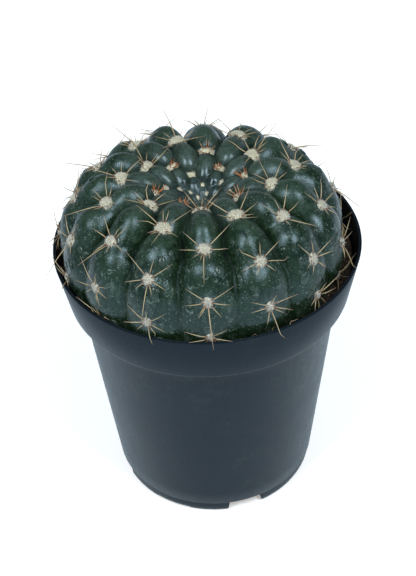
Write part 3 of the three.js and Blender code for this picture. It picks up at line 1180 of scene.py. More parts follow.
        # Painted shade in the crown's sunken middle: the hollow value is raised there, which
        # darkens and roughens the skin.
        middle = 1 - smoothstep(spread, *self.sunken_middle)
        hollow = hollow + (np.maximum(hollow, self.middle_painted_shade) - hollow) * middle
        out = growth.rib_heading(spot, spread)
        places = out * (radius + normal[..., 0] * rise)[..., None]
        places[..., 2] = point[..., 1] + normal[..., 1] * rise
        coarse, fine = self.ripples_per_metre
        lumps = np.array([noise.noise(Vector(p) * coarse) + 0.5 * noise.noise(Vector(p) * fine)
                          for p in places.reshape(-1, 3)]).reshape(radius.shape)
        shift = self.ripple * lumps * (1 - 0.5 * hollow) * smoothstep(spread, *self.ripples_from)
        places += out * (normal[..., 0] * shift)[..., None]
        places[..., 2] += normal[..., 1] * shift
        wet = smoothstep(spread, *self.wet_from) * (1 - smoothstep(spread, *self.wet_until))
        age = smoothstep(spread, *self.grown_up)
        return places, {Mark.HOLLOW: hollow, Mark.AGE: age, Mark.WET: wet}

    def halo(self, points: np.ndarray, areoles: Sequence[Areole]) -> np.ndarray:
        """Paler bloom round the areoles, by distance to the nearest one.

        Args:
            points: Skin points in the pot's frame.
            areoles: The areoles.

        Returns:
            A value from 0 to 1 for each point.
        """
        gaps = [np.linalg.norm(points - np.array(areole.place), axis=1) for areole in areoles]
        return 1 - smoothstep(np.min(gaps, axis=0), *self.halo_reach)

    def build(self, areoles: Sequence[Areole]) -> bpy.types.Object:
        """Makes the body piece.

        Args:
            areoles: The areoles that sit on it.

        Returns:
            The finished body.
        """
        places, marks = self.surface()
        rings, around = places.shape[:2]
        crown, foot = places[0].mean(axis=0), places[-1].mean(axis=0)
        points = np.vstack([places.reshape(-1, 3), crown, foot])
        turn = np.array(self.growth.frame)
        points = points @ turn[:3, :3].T + turn[:3, 3]
        faces = ring_faces(rings, around).tolist()
        last, middle = (rings - 1) * around, rings * around
        for i in range(around):
            j = (i + 1) % around
            faces.append((middle, i, j))
            faces.append((last + i, middle + 1, last + j))
        mesh = mesh_of("cactus_skin", points, faces)
        for name, values in marks.items():
            ends = [values[0].mean(), values[-1].mean()]
            carry(mesh, name, np.concatenate([values.ravel(), ends]))
        carry(mesh, Mark.HALO, self.halo(points, areoles))
        mesh.materials.append(CactusSkin().material())
        return finish_piece(new_object("cactus_skin", mesh), Slot.SKIN, "cactus_body")


# ---------------------------------------------------------------- spine tufts


class TuftTree:
    """Geometry nodes that turn a dome and bare spine lines into wool and tapered spines."""

    def __init__(self) -> None:
        """Builds the tree once for every tuft."""
        self.tree, self.wire, self.given = grower(
            "felt_and_spine_tuft", {"Hairs per Area": 2.6e7, "Hair Length": 1.0 * MM,
                                    "Hair Radius": 0.075 * MM, "Spread": 0.65}, "Felt", "Horn")
        self._join()

    def _join(self) -> None:
        """Parts the dome from the spine lines, dresses each and joins them."""
        wire, given = self.wire, self.given
        is_spine = wire.add("FunctionNodeCompare", {0: wire.carried(Mark.IS_SPINE), 1: 0.5},
                            operation="GREATER_THAN").outputs[0]
        parts = wire.add("GeometryNodeSeparateGeometry",
                         {"Geometry": given["Geometry"], "Selection": is_spine}, domain="POINT")
        both = wire.add("GeometryNodeJoinGeometry")
        wire.feed(both, 0, self._spines(parts.outputs["Selection"]))
        wire.feed(both, 0, self._wool(parts.outputs["Inverted"]))
        plain = wire.add("GeometryNodeRealizeInstances", {"Geometry": both.outputs[0]})
        felt = wire.add("GeometryNodeSetMaterial",
                        {"Geometry": plain.outputs[0], "Material": given["Felt"]})
        horn = wire.add("GeometryNodeSetMaterial", {
            "Geometry": felt.outputs[0], "Selection": is_spine, "Material": given["Horn"]})
        wire.add("NodeGroupOutput", {"Geometry": horn.outputs[0]})

    def _spines(self, lines: Socket) -> Socket:
        """Sweeps a small circle along the spine lines, as thick as they say.

        Args:
            lines: The bare lines.

        Returns:
            The spines' mesh.
        """
        wire = self.wire
        curve = wire.add("GeometryNodeMeshToCurve", {"Mesh": lines}).outputs[0]
        circle = wire.add("GeometryNodeCurvePrimitiveCircle", {"Resolution": 5, "Radius": 1.0})
        sweep = wire.add("GeometryNodeCurveToMesh", {
            "Curve": curve, "Profile Curve": circle.outputs[0],
            "Scale": wire.carried(Mark.THICK), "Fill Caps": True})
        smooth = wire.add("GeometryNodeSetShadeSmooth", {"Geometry": sweep.outputs[0]})
        return smooth.outputs[0]

    def _wool(self, dome: Socket) -> Socket:
        """Plants hairs all over the dome.

        Args:
            dome: The felt dome.

        Returns:
            The dome with its hairs.
        """
        wire, given = self.wire, self.given
        dots = wire.add("GeometryNodeDistributePointsOnFaces", {
            "Mesh": dome, "Density": given["Hairs per Area"], "Seed": given["Seed"]})
        tilt = wire.dice_vector((-1.0, -1.0, -1.0), PLAIN, given["Seed"])
        aim = wire.add("ShaderNodeVectorMath", {
            0: dots.outputs["Normal"], 1: wire.scaled(tilt, given["Spread"])}, operation="ADD")
        turn = wire.add("FunctionNodeAlignRotationToVector", {"Vector": aim.outputs[0]}, axis="Z")
        hair = wire.add("GeometryNodeMeshCone", {
            "Vertices": 3, "Side Segments": 1, "Radius Top": 0.0,
            "Radius Bottom": given["Hair Radius"], "Depth": given["Hair Length"]})
        planted = wire.add("GeometryNodeInstanceOnPoints", {
            "Points": dots.outputs["Points"], "Instance": hair.outputs[0],
            "Rotation": turn.outputs[0], "Scale": wire.dice(0.55, 1.15, given["Seed"])})
        joined = wire.add("GeometryNodeJoinGeometry")
        wire.feed(joined, 0, dome)
        wire.feed(joined, 0, planted.outputs[0])
        return joined.outputs[0]


@dataclass(frozen=True)
class SpineKind:
    """One spine of an areole: its turn in degrees from the down-rib direction, its length, and
    how often it is there."""

    turn: float
    length: float
    chance: float = 1.0


@dataclass
class PotMouth:
    """The space inside the pot's collar, which the spines keep to."""

    rim: float = field(default_factory=lambda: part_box("pot")[1].z)
    rim_radius: float = 58.8 * MM
    foot: float = 95.8 * MM
    foot_radius: float = 54.8 * MM
    gap: float = 0.4 * MM
    over_rim: float = 2.2 * MM

    def hold(self, point: Vector) -> Vector:
        """Moves a point out of the pot's wall, inwards or up onto the rim.

        Args:
            point: The point.

        Returns:
            The point, moved if it was in or beyond the wall.
        """
        radius = math.hypot(point.x, point.y)
        share = (point.z - self.foot) / (self.rim - self.foot)
        inside = self.foot_radius + share * (self.rim_radius - self.foot_radius) - self.gap
        if point.z > self.rim + self.gap or radius <= inside:
            return point
        if point.z > self.rim - self.over_rim:
            return Vector((point.x, point.y, self.rim + self.gap))
        return Vector((point.x * inside / radius, point.y * inside / radius, point.z))


@dataclass(frozen=True)
class SpineHabit:
    """How spines stand and taper, and how much that differs from one to the next. Angles are in
    degrees; a lift is the angle off the skin, and what it loses is with age and on the flank."""

    grown: Pair = (16 * MM, 30 * MM)
    on_flank: Pair = (38 * MM, 70 * MM)
    young_length: float = 0.62
    length_spread: Pair = (0.82, 1.16)
    turn_spread: float = 7.0
    root_lift: float = 74.0
    root_lift_lost: Pair = (38.0, 10.0)
    root_lift_spread: float = 5.0
    tip_lift: float = 76.0
    tip_lift_lost: Pair = (50.0, 16.0)
    tip_lift_spread: float = 6.0
    bend_spread: float = 5.0
    kink_spread: float = 26.0
    kink_chance: float = 0.2
    kink_place: Pair = (0.55, 0.85)
    lift_rate: float = 1.7
    root_place: Pair = (0.25, 0.70)
    girth_spread: Pair = (0.8, 1.15)
    taper_power: float = 1.4
    red_root: Pair = (0.2 * MM, 2.0 * MM)
    brown_tip: Pair = (0.62, 1.0)


@dataclass
class SpineTufts:
    """All the areoles: felt pads with their hairs and spines."""

    skin: bpy.types.Object
    mouth: PotMouth = field(default_factory=PotMouth)
    habit: SpineHabit = SpineHabit()
    first_spines: float = 16.6 * MM
    grown_spines: float = 23.6 * MM
    spine_steps: int = 10
    root_radius: float = 0.225 * MM
    tip_radius: float = 0.055 * MM
    skin_gap: float = 0.35 * MM
    lift_step: float = 0.3 * MM
    lift_tries: int = 12
    root_rise: float = 0.35 * MM
    dome_rings: int = 7
    dome_sides: int = 18
    dome_sunk: float = 0.15 * MM
    dome_root: float = 0.8 * MM
    dome_height: Pair = (0.72, 0.55)
    dome_longer: float = 0.22
    longer_from: Pair = (50 * MM, 68 * MM)
    dome_wider: float = 0.10
    wider_until: Pair = (30 * MM, 50 * MM)
    dome_lumps: float = 0.16
    lumps_per_metre: float = 900.0
    pad_stations_mm: tuple[float, ...] = (4, 9, 13, 18, 25, 35, 46, 56, 65, 80, 95)
    pad_radii_mm: tuple[float, ...] = (
        1.5, 2.2, 2.5, 2.4, 2.6, 2.7, 2.3, 2.0, 1.7, 1.4, 1.25)
    greyed: Pair = (8 * MM, 70 * MM)
    hair_length: float = 0.6 * MM
    hair_share: float = 0.16
    first_seed: int = 1000
    node_gap: float = 6 * MM
    node_rise: float = 2 * MM
    kinds: tuple[SpineKind, ...] = (
        SpineKind(2, 15.0 * MM, 0.75), SpineKind(-17, 5.5 * MM, 0.45), SpineKind(18, 5.0 * MM, 0.4),
        SpineKind(40, 5.5 * MM, 0.9), SpineKind(-43, 4.8 * MM, 0.9), SpineKind(80, 8.0 * MM),
        SpineKind(-84, 7.5 * MM), SpineKind(126, 10.5 * MM), SpineKind(-129, 10.5 * MM),
        SpineKind(171, 6.0 * MM, 0.8), SpineKind(-158, 4.5 * MM, 0.35))
    young_kinds: tuple[SpineKind, ...] = tuple(
        SpineKind(turn, length * MM) for turn, length in (
            (10, 4.0), (58, 4.6), (104, 5.0), (150, 5.4), (-34, 4.2), (-80, 4.8), (-128, 5.2),
            (-172, 5.6)))

    def __post_init__(self) -> None:
        """Prepares the skin's search tree, the node tree and the materials."""
        self.tree = TuftTree().tree
        self.felt, self.horn = Felt().material(), SpineHorn().material()
        mesh = self.skin.data
        self.search = BVHTree.FromPolygons([v.co for v in mesh.vertices],
                                           [p.vertices for p in mesh.polygons])

    def pad_radius(self, distance: float) -> float:
        """Radius of the felt pad at a distance from the crown."""
        stations, radii = np.array(self.pad_stations_mm) * MM, np.array(self.pad_radii_mm) * MM
        return float(np.interp(distance, stations, radii))

    def clear(self, point: Vector, outwards: Vector) -> Vector:
        """Lifts a spine point off the skin, and keeps it out of the pot.

        Args:
            point: The point.
            outwards: The areole's outward direction.

        Returns:
            The point, moved if need be.
        """
        for _ in range(self.lift_tries):
            near, normal, _, gap = self.search.find_nearest(point)
            if (point - near).dot(normal) > 0 and gap >= self.skin_gap:
                break
            point = point + outwards * self.lift_step
        return self.mouth.hold(point)

    def spine_line(self, areole: Areole, kind: SpineKind, pad: float,
                   dice: np.random.Generator) -> list[Vector]:
        """The bent middle line of one spine.

        Args:
            areole: Its areole.
            kind: Its turn and full length.
            pad: The felt pad's radius.
            dice: Random numbers.

        Returns:
            Points from root to tip.
        """
        habit = self.habit
        age = float(smoothstep(areole.distance, *habit.grown))
        flat = float(smoothstep(areole.distance, *habit.on_flank))
        turn = math.radians(kind.turn + dice.normal(0, habit.turn_spread))
        length = kind.length * (habit.young_length + (1 - habit.young_length) * age)
        length = length * dice.uniform(*habit.length_spread)
        lost = np.dot(habit.root_lift_lost, (age, flat))
        lift_start = math.radians(habit.root_lift - lost + dice.normal(0, habit.root_lift_spread))
        lost = np.dot(habit.tip_lift_lost, (age, flat))
        lift_end = math.radians(habit.tip_lift - lost + dice.normal(0, habit.tip_lift_spread))
        bend = math.radians(dice.normal(0, habit.bend_spread))
        kink = math.radians(dice.normal(0, habit.kink_spread))
        kink = kink * (dice.uniform(0, 1) < habit.kink_chance)
        kink_at = dice.uniform(*habit.kink_place)
        across = areole.down * math.cos(turn) + areole.side * math.sin(turn)
        sideways = areole.out.cross(across)
        inner, outer = habit.root_place
        point = areole.place + across * pad * (inner + (outer - inner) * age)
        point = point + areole.out * self.root_rise
        points = [point]
        for i in range(1, self.spine_steps):
            share = i / (self.spine_steps - 1)
            lift = lift_start + (lift_end - lift_start) * min(1.0, share * habit.lift_rate)
            swing = bend * share + (kink if share > kink_at else 0.0)
            way = across * math.cos(swing) + sideways * math.sin(swing)
            step = way * math.cos(lift) + areole.out * math.sin(lift)
            point = self.clear(point + step * length / (self.spine_steps - 1), areole.out)
            points.append(point)
        return points

    def dome(self, areole: Areole, pad: float, age: float,
             dice: np.random.Generator) -> tuple[list[Vector], list[list[int]]]:
        """The closed, uneven felt dome under the hairs.

        Args:
            areole: Its areole.
            pad: Its radius.
            age: 0 for the youngest, 1 for the oldest.
            dice: Random numbers.

        Returns:
            Points and faces.
        """
        young, old = self.dome_height
        height = pad * (young + (old - young) * age)
        long = 1.0 + self.dome_longer * float(smoothstep(areole.distance, *self.longer_from))
        wide = 1.0 + self.dome_wider * float(1 - smoothstep(areole.distance, *self.wider_until))
        points, sides = [], self.dome_sides
        shift = Vector(dice.uniform(-9, 9, 3))
        for ring in range(self.dome_rings):
            lean = math.pi / 2 * (1 - ring / self.dome_rings)
            for i in range(sides):
                angle = 2 * math.pi * i / sides
                spot = (areole.down * math.cos(angle) * math.sin(lean) * long
                        + areole.side * math.sin(angle) * math.sin(lean) * wide) * pad
                spot = spot + areole.out * math.cos(lean) * height
                lump = 1 + self.dome_lumps * noise.noise(spot * self.lumps_per_metre + shift)
                points.append(areole.place + spot * lump - areole.out * self.dome_sunk)
        faces = []
        for ring in range(self.dome_rings - 1):
            for i in range(sides):
                j = (i + 1) % sides
                low, high = ring * sides, (ring + 1) * sides
                faces.append([low + i, low + j, high + j, high + i])
        top, last = len(points), (self.dome_rings - 1) * sides
        points.append(areole.place + areole.out * (height - self.dome_sunk))
        points.append(areole.place - areole.out * self.dome_root)
        for i in range(sides):
            j = (i + 1) % sides
            faces.append([last + i, last + j, top])
            faces.append([j, i, top + 1])
        return points, faces

    def kinds_for(self, areole: Areole) -> tuple[SpineKind, ...]:
        """The spines that an areole of its age has.

        Args:
            areole: The areole.

        Returns:
            Its kinds of spine; none on the youngest.
        """
        if areole.distance < self.first_spines:
            return ()
        if areole.distance < self.grown_spines:
            return self.young_kinds
        return self.kinds

    def build_one(self, areole: Areole, number: int) -> bpy.types.Object:
        """Makes one tuft.

        Args:
            areole: Its areole.
            number: Its number, which seeds its random numbers.

        Returns:
            The tuft as a plain mesh, not yet tied to the frame.
        """
        dice, habit = np.random.default_rng(self.first_seed + number), self.habit
        pad = self.pad_radius(areole.distance)
        age = float(smoothstep(areole.distance, *self.greyed))
        points, faces = self.dome(areole, pad, age, dice)
        felt_points = len(points)
        edges: list[tuple[int, int]] = []
        values = {mark: [0.0] * felt_points
                  for mark in (Mark.ROOT, Mark.TIP, Mark.THICK, Mark.TINT)}
        for kind in self.kinds_for(areole):
            if dice.uniform(0, 1) > kind.chance:
                continue
            line = self.spine_line(areole, kind, pad, dice)
            shade, girth = dice.uniform(0, 1), dice.uniform(*habit.girth_spread)
            for i, point in enumerate(line):
                share = i / (len(line) - 1)
                if i:
                    edges.append((len(points) - 1, len(points)))
                points.append(point)
                bare = (point - areole.place).length - pad
                values[Mark.ROOT].append(1 - float(smoothstep(bare, *habit.red_root)))
                values[Mark.TIP].append(float(smoothstep(share, *habit.brown_tip)))
                values[Mark.TINT].append(shade)
                taper = (self.tip_radius - self.root_radius) * share ** habit.taper_power
                values[Mark.THICK].append((self.root_radius + taper) * girth)
        name = f"tuft_{areole.rib + 1:02d}_{number:03d}"
        mesh = mesh_of(name, np.array([tuple(p) for p in points]), faces, edges)
        spines = len(points) - felt_points
        carry(mesh, Mark.IS_SPINE, np.concatenate([np.zeros(felt_points), np.ones(spines)]))
        carry(mesh, Mark.AGE, np.full(len(points), age))
        for mark, numbers in values.items():
            carry(mesh, mark, np.array(numbers))
        settings = {"Hair Length": self.hair_length + self.hair_share * pad, "Seed": number,
                    "Felt": self.felt, "Horn": self.horn}
        return grow(new_object(name + "_lines", mesh), self.tree, settings, name)

    def cad_node(self, areole: Areole, taken: set[str]) -> str | None:
        """The CAD cluster that stands where an areole is.

        Args:
            areole: The areole.
            taken: Clusters that already have their tuft.

        Returns:
            The node's name, or None where the CAD model has no cluster.
        """
        best, best_gap = None, self.node_gap
        prefix = f"areole_{areole.rib + 1:02d}_"
        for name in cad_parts:
            if name.startswith(prefix) and name not in taken:
                low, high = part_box(name)
                gap = ((low + high) / 2 - areole.place - areole.out * self.node_rise).length
                if gap < best_gap:
                    best, best_gap = name, gap
        return best

    def build(self, areoles: Sequence[Areole]) -> None:
        """Makes a tuft on every areole and ties each to its CAD cluster.

        Args:
            areoles: The areoles.
        """
        taken: set[str] = set()
        for number, areole in enumerate(areoles):
            tuft = self.build_one(areole, number)
            node = self.cad_node(areole, taken)
            if node:
                taken.add(node)
                tuft.name = node.replace("areole", "tuft")
            finish_piece(tuft, Slot.TUFT, *([node] if node else []))


# ---------------------------------------------------------------- water beads


@dataclass
class WaterBeads:
    """Beads of water on the flanks of the plant."""

    skin: bpy.types.Object
    per_area: float = 1.4e4
    smallest: float = 0.35 * MM
    largest: float = 1.8 * MM
    few_large: float = 1.7
    drawn_out: Pair = (0.9, 1.45)
    flatness: float = 0.28
    seed: int = 11

    def tree(self) -> bpy.types.NodeTree:
        """Geometry nodes that scatter flattened beads where the skin is wet.

        Returns:
            The tree.
        """
        tree, wire, given = grower("water_beads", {
            "Beads per Area": self.per_area, "Smallest": self.smallest, "Largest": self.largest,
            "Flatness": self.flatness}, "Water")
        density = wire.maths("MULTIPLY", wire.carried(Mark.WET), given["Beads per Area"])
        dots = wire.add("GeometryNodeDistributePointsOnFaces", {
            "Mesh": given["Geometry"], "Density": density, "Seed": given["Seed"]})
        turn = wire.add("FunctionNodeAlignRotationToVector", {"Vector": dots.outputs["Normal"]},
                        axis="Z")
        few = wire.maths("POWER", wire.dice(0.0, 1.0, given["Seed"]), self.few_large)
        spread = wire.maths("SUBTRACT", given["Largest"], given["Smallest"])
        radius = wire.maths("MULTIPLY_ADD", few, spread, given["Smallest"])
        longer = wire.maths("MULTIPLY", radius, wire.dice(*self.drawn_out, given["Seed"]))
        flat = wire.maths("MULTIPLY", radius, given["Flatness"])
        shape = wire.add("ShaderNodeCombineXYZ", {0: radius, 1: longer, 2: flat})
        ball = wire.add("GeometryNodeMeshUVSphere", {
            "Segments": 10, "Rings": 6, "Radius": 1.0})
        smooth = wire.add("GeometryNodeSetShadeSmooth", {"Geometry": ball.outputs[0]})
        placed = wire.add("GeometryNodeInstanceOnPoints", {
            "Points": dots.outputs["Points"], "Instance": smooth.outputs[0],
            "Rotation": turn.outputs[0], "Scale": shape.outputs[0]})
        plain = wire.add("GeometryNodeRealizeInstances", {"Geometry": placed.outputs[0]})
        water = wire.add("GeometryNodeSetMaterial", {
            "Geometry": plain.outputs[0], "Material": given["Water"]})
        wire.add("NodeGroupOutput", {"Geometry": water.outputs[0]})
        return tree

    def build(self) -> bpy.types.Object:
        """Makes the beads as one piece.

        Returns:
            The finished beads.
        """
        start = new_object("bead_ground", self.skin.data.copy())
        beads = grow(start, self.tree(), {"Seed": self.seed, "Water": Water().material()},
                     "water_beads")
        return finish_piece(beads, Slot.SKIN)


# ---------------------------------------------------------------- potting mix


@dataclass
class PottingSoil:
    """The uneven top of the potting mix with its loose crumbs."""

    level: float = field(default_factory=lambda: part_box("soil")[1].z)
    outer: float = 56.5 * MM
    outer_below: float = 55.3 * MM
    crumb_limit: float = 55.6 * MM
    inner: float = 36.0 * MM
    bank: float = 2.4 * MM
    bank_from: float = 49.0 * MM
    depth: float = 3.0 * MM
    rings: int = 26
    sides: int = 260
    lift: float = 0.4 * MM
    bump_height: float = 0.9 * MM
    bumps_per_metre: float = 130.0
    bump_roughness: float = 0.9
    bump_layers: int = 4
    plain_shade: float = 0.3
    crumbs_per_area: float = 9.0e5
    smallest: float = 0.25 * MM
    largest: float = 1.3 * MM
    few_large: float = 3.0
    facing_up: float = 0.3
    most_spin: float = 6.28
    seed: int = 5
    shade_seed: int = 77

    def top(self, finish: bpy.types.Material) -> bpy.types.Object:
        """The bumpy top layer, a closed ring that reaches in under the plant.

        Args:
            finish: Its material.

        Returns:
            The layer, not yet tied to the frame.
        """
        radii = np.linspace(self.inner, self.outer, self.rings)
        turn = 2 * np.pi * np.arange(self.sides) / self.sides
        grid = heading(turn)[None, :, :] * radii[:, None, None]
        bumps = np.array([
            noise.fractal(Vector(p) * self.bumps_per_metre, self.bump_roughness, 2.0,
                          self.bump_layers)
            for p in grid.reshape(-1, 3)]).reshape(self.rings, self.sides)
        banked = self.bank * smoothstep(radii, self.bank_from, self.outer)[:, None]
        grid[..., 2] = self.level + self.lift + banked + self.bump_height * bumps
        floor = np.stack([grid[-1] * (self.outer_below / self.outer), grid[0]])
        floor[..., 2] = self.level - self.depth
        points = np.vstack([grid.reshape(-1, 3), floor.reshape(-1, 3)])
        mesh = mesh_of("soil_top", points, ring_faces(self.rings + 2, self.sides, closed=True))
        carry(mesh, Mark.SHADE, np.full(len(points), self.plain_shade))
        mesh.materials.append(finish)
        return new_object("soil_top", mesh)

    def crumb_tree(self) -> bpy.types.NodeTree:
        """Geometry nodes that scatter crumbs on the layer's upper faces.

        Returns:
            The tree.
        """
        tree, wire, given = grower("soil_crumbs", {
            "Crumbs per Area": self.crumbs_per_area, "Smallest": self.smallest,
            "Largest": self.largest}, "Mix")
        normal = wire.add("GeometryNodeInputNormal").outputs[0]
        rise = wire.add("ShaderNodeSeparateXYZ", {0: normal}).outputs[2]
        upwards = wire.maths("GREATER_THAN", rise, self.facing_up)
        place = wire.add("GeometryNodeInputPosition").outputs[0]
        flat = wire.add("ShaderNodeVectorMath", {0: place, 1: (1.0, 1.0, 0.0)},
                        operation="MULTIPLY")
        reach = wire.add("ShaderNodeVectorMath", {0: flat.outputs[0]}, operation="LENGTH")
        inside = wire.maths("LESS_THAN", reach.outputs["Value"], self.crumb_limit)
        dots = wire.add("GeometryNodeDistributePointsOnFaces", {
            "Mesh": given["Geometry"], "Selection": wire.maths("MULTIPLY", upwards, inside),
            "Density": given["Crumbs per Area"], "Seed": given["Seed"]})
        ball = wire.add("GeometryNodeMeshIcoSphere", {"Radius": 1.0, "Subdivisions": 1})
        rough = wire.cloud(place, 1.4, detail=1.0)
        size = wire.maths("MULTIPLY_ADD", rough.outputs[0], 1.6, 0.1)
        lump = wire.add("GeometryNodeSetPosition", {
            "Geometry": ball.outputs[0], "Position": wire.scaled(place, size)})
        few = wire.maths("POWER", wire.dice(0.0, 1.0, given["Seed"]), self.few_large)
        spread = wire.maths("SUBTRACT", given["Largest"], given["Smallest"])
        radius = wire.maths("MULTIPLY_ADD", few, spread, given["Smallest"])
        spin = wire.dice_vector((0.0, 0.0, 0.0), (self.most_spin,) * 3, given["Seed"])
        squash = wire.dice_vector((0.6, 0.6, 0.45), (1.5, 1.2, 1.0), given["Seed"])
        placed = wire.add("GeometryNodeInstanceOnPoints", {
            "Points": dots.outputs["Points"], "Instance": lump.outputs[0],
            "Rotation": spin, "Scale": wire.scaled(squash, radius)})
        shaded = wire.add("GeometryNodeStoreNamedAttribute", {
            "Geometry": placed.outputs[0], "Name": Mark.SHADE.value,
            "Value": wire.dice(0.0, 1.0, self.shade_seed)}, data_type="FLOAT", domain="INSTANCE")
        plain = wire.add("GeometryNodeRealizeInstances", {"Geometry": shaded.outputs[0]})
        mixed = wire.add("GeometryNodeSetMaterial", {
            "Geometry": plain.outputs[0], "Material": given["Mix"]})
        wire.add("NodeGroupOutput", {"Geometry": mixed.outputs[0]})
        return tree

    def build(self) -> None:
        """Makes the top layer and crumbs, and dresses the block of soil below them."""
        finish = PottingMix().material()
        top = self.top(finish)
        start = new_object("crumb_ground", top.data.copy())
        crumbs = grow(start, self.crumb_tree(), {"Seed": self.seed, "Mix": finish}, "soil_crumbs")
        finish_piece(top, Slot.SOIL)
        finish_piece(crumbs, Slot.SOIL)
        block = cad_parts["soil"]
        block.data.materials.clear()
        block.data.materials.append(finish)


# ---------------------------------------------------------------- pot


@dataclass
class NurseryPot:
    """The moulded pot: collar, tapered wall and a ring of feet."""

    height: float = field(default_factory=lambda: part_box("pot")[1].z)
    rim_radius: float = field(default_factory=lambda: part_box("pot")[1].x)
    wall: float = 1.2 * MM
    collar_height: float = 21.0 * MM
    collar_base_radius: float = 56.0 * MM
    shoulder_radius: float = 51.4 * MM
    shoulder_drop: float = 1.6 * MM
    heel_radius: float = 41.3 * MM
    heel_height: float = 6.5 * MM
    base_disc_radius: float = 29.0 * MM
    disc_edge: float = 0.7 * MM
    feet: int = 8
    first_foot_turn: float = math.radians(-6.0)
    notch_width: float = 14.5 * MM
    notch_edge: Pair = (-0.35 * MM, 0.05 * MM)
    deep_notch: float = 5.5 * MM
    shallow_notch: float = 1.3 * MM
    corner: float = 1.5 * MM
    drain_radius: float = 3.2 * MM
    drain_ring: float = 33.5 * MM
    drain_sides: int = 32
    drill_above: float = 3 * MM
    drill_below: float = 2 * MM
    sharp_angle: float = math.radians(50)
    sides: int = 480

    def floor_height(self, spot: np.ndarray) -> np.ndarray:
        """Height of the pot's underside at places under it.

        Args:
            spot: Places, X and Y.

        Returns:
            0 under a foot, the notch's height in a notch or under the raised floor.
        """
        radius = np.hypot(spot[..., 0], spot[..., 1])
        height = self.deep_notch * (1 - smoothstep(
            radius, self.base_disc_radius - self.disc_edge, self.base_disc_radius + self.disc_edge))
        for i in range(self.feet):
            middle = self.first_foot_turn + (i + 0.5) * 2 * math.pi / self.feet
            out = heading(middle)[:2]
            side = np.array([-out[1], out[0]])
            ahead = spot @ out > 0
            off = np.abs(spot @ side)
            half = self.notch_width / 2
            depth = self.shallow_notch if i % 2 else self.deep_notch
            begins, ends = self.notch_edge
            open_part = depth * (1 - smoothstep(off, half + begins, half + ends))
            into = np.clip(1 - (off - half) / self.corner, 0.0, 1.0)
            rounded = np.minimum(self.corner * (1 - np.sqrt(1 - into ** 2)), depth)
            height = np.maximum(height, np.maximum(open_part, rounded) * ahead)
        return height

    def outside(self) -> list[Pair]:
        """The outside from the top of the rim down to the shoulder under the collar.

        Returns:
            Radius and height of each point.
        """
        top, rim = self.height, self.rim_radius
        collar_foot = top - self.collar_height
        base, shoulder = self.collar_base_radius, self.shoulder_radius
        return [
            (rim - 0.95 * MM, top), (rim - 0.82 * MM, top - 0.06 * MM),
            (rim - 0.74 * MM, top - 0.45 * MM), (rim - 0.56 * MM, top - 0.62 * MM),
            (rim - 0.42 * MM, top - 0.42 * MM), (rim - 0.30 * MM, top - 0.26 * MM),
            (rim - 0.12 * MM, top - 0.26 * MM), (rim, top - 0.45 * MM),
            (base + 0.16 * MM, collar_foot + 1.2 * MM),
            (base + 0.08 * MM, collar_foot + 0.7 * MM),
            (base, collar_foot + 0.42 * MM), (base - 0.12 * MM, collar_foot + 0.2 * MM),
            (base - 0.30 * MM, collar_foot + 0.06 * MM), (base - 0.55 * MM, collar_foot),
            (base - 1.1 * MM, collar_foot - 0.05 * MM),
            (shoulder + 1.2 * MM, collar_foot - 0.2 * MM),
            (shoulder + 0.4 * MM, collar_foot - 0.6 * MM),
            (shoulder, collar_foot - self.shoulder_drop),
        ]

    def wall_line(self) -> list[Pair]:
        """The long tapered wall from the shoulder to the heel.

        Returns:
            Radius and height of each point.
        """
        start = (self.shoulder_radius, self.height - self.collar_height - self.shoulder_drop)
        end = (self.heel_radius, self.heel_height)
        return [(start[0] + (end[0] - start[0]) * s, start[1] + (end[1] - start[1]) * s)
                for s in np.linspace(0, 1, 14)[1:]]

    def underside(self) -> list[Pair]:
        """The heel and the underside, before the notches are let in.

        Returns:
            Radius and height of each point.
        """
        heel, high = self.heel_radius, self.heel_height
        rounded = [(heel - 0.12 * MM, high - 0.25 * MM), (heel - 0.45 * MM, high - 0.55 * MM),
                   (heel - 0.55 * MM, high - 1.0 * MM), (heel - 0.62 * MM, high - 1.6 * MM),
                   (heel - 0.75 * MM, 3.0 * MM), (heel - 1.0 * MM, 1.7 * MM),
                   (heel - 1.4 * MM, 0.8 * MM), (heel - 2.0 * MM, 0.25 * MM),
                   (heel - 2.8 * MM, 0.0)]
        inner = np.concatenate([
            np.linspace(self.heel_radius - 4.5 * MM, self.base_disc_radius + 1.4 * MM, 6),
            self.base_disc_radius + np.linspace(0.9, -1.2, 7) * MM,
            np.linspace(self.base_disc_radius - 4 * MM, 3 * MM, 6)])
        return rounded + [(float(radius), 0.0) for radius in inner]

    def ring(self, radius: float, height: float) -> np.ndarray:
        """A level ring of points, from the front anticlockwise seen from above.

        Args:
            radius: The ring's radius.
            height: Its height.

        Returns:
            The points.
        """
        points = heading(2 * np.pi * np.arange(self.sides) / self.sides) * radius
        points[:, 2] = height
        return points

    def lifted(self, radius: float, height: float) -> np.ndarray:
        """A ring of the underside, lifted where there is a notch or the raised floor.

        Args:
            radius: The ring's radius.
            height: Its lowest height.

        Returns:
            The points.
        """
        points = self.ring(radius, height)
        points[:, 2] = np.maximum(self.floor_height(points[:, :2]), height)
        return points

    def skin_rings(self) -> list[np.ndarray]:
        """Rings of points of the outside, from the rim to the middle of the underside.

        Returns:
            The rings.
        """
        rings = [self.ring(*spot) for spot in self.outside() + self.wall_line()]
        return rings + [self.lifted(*spot) for spot in self.underside()]

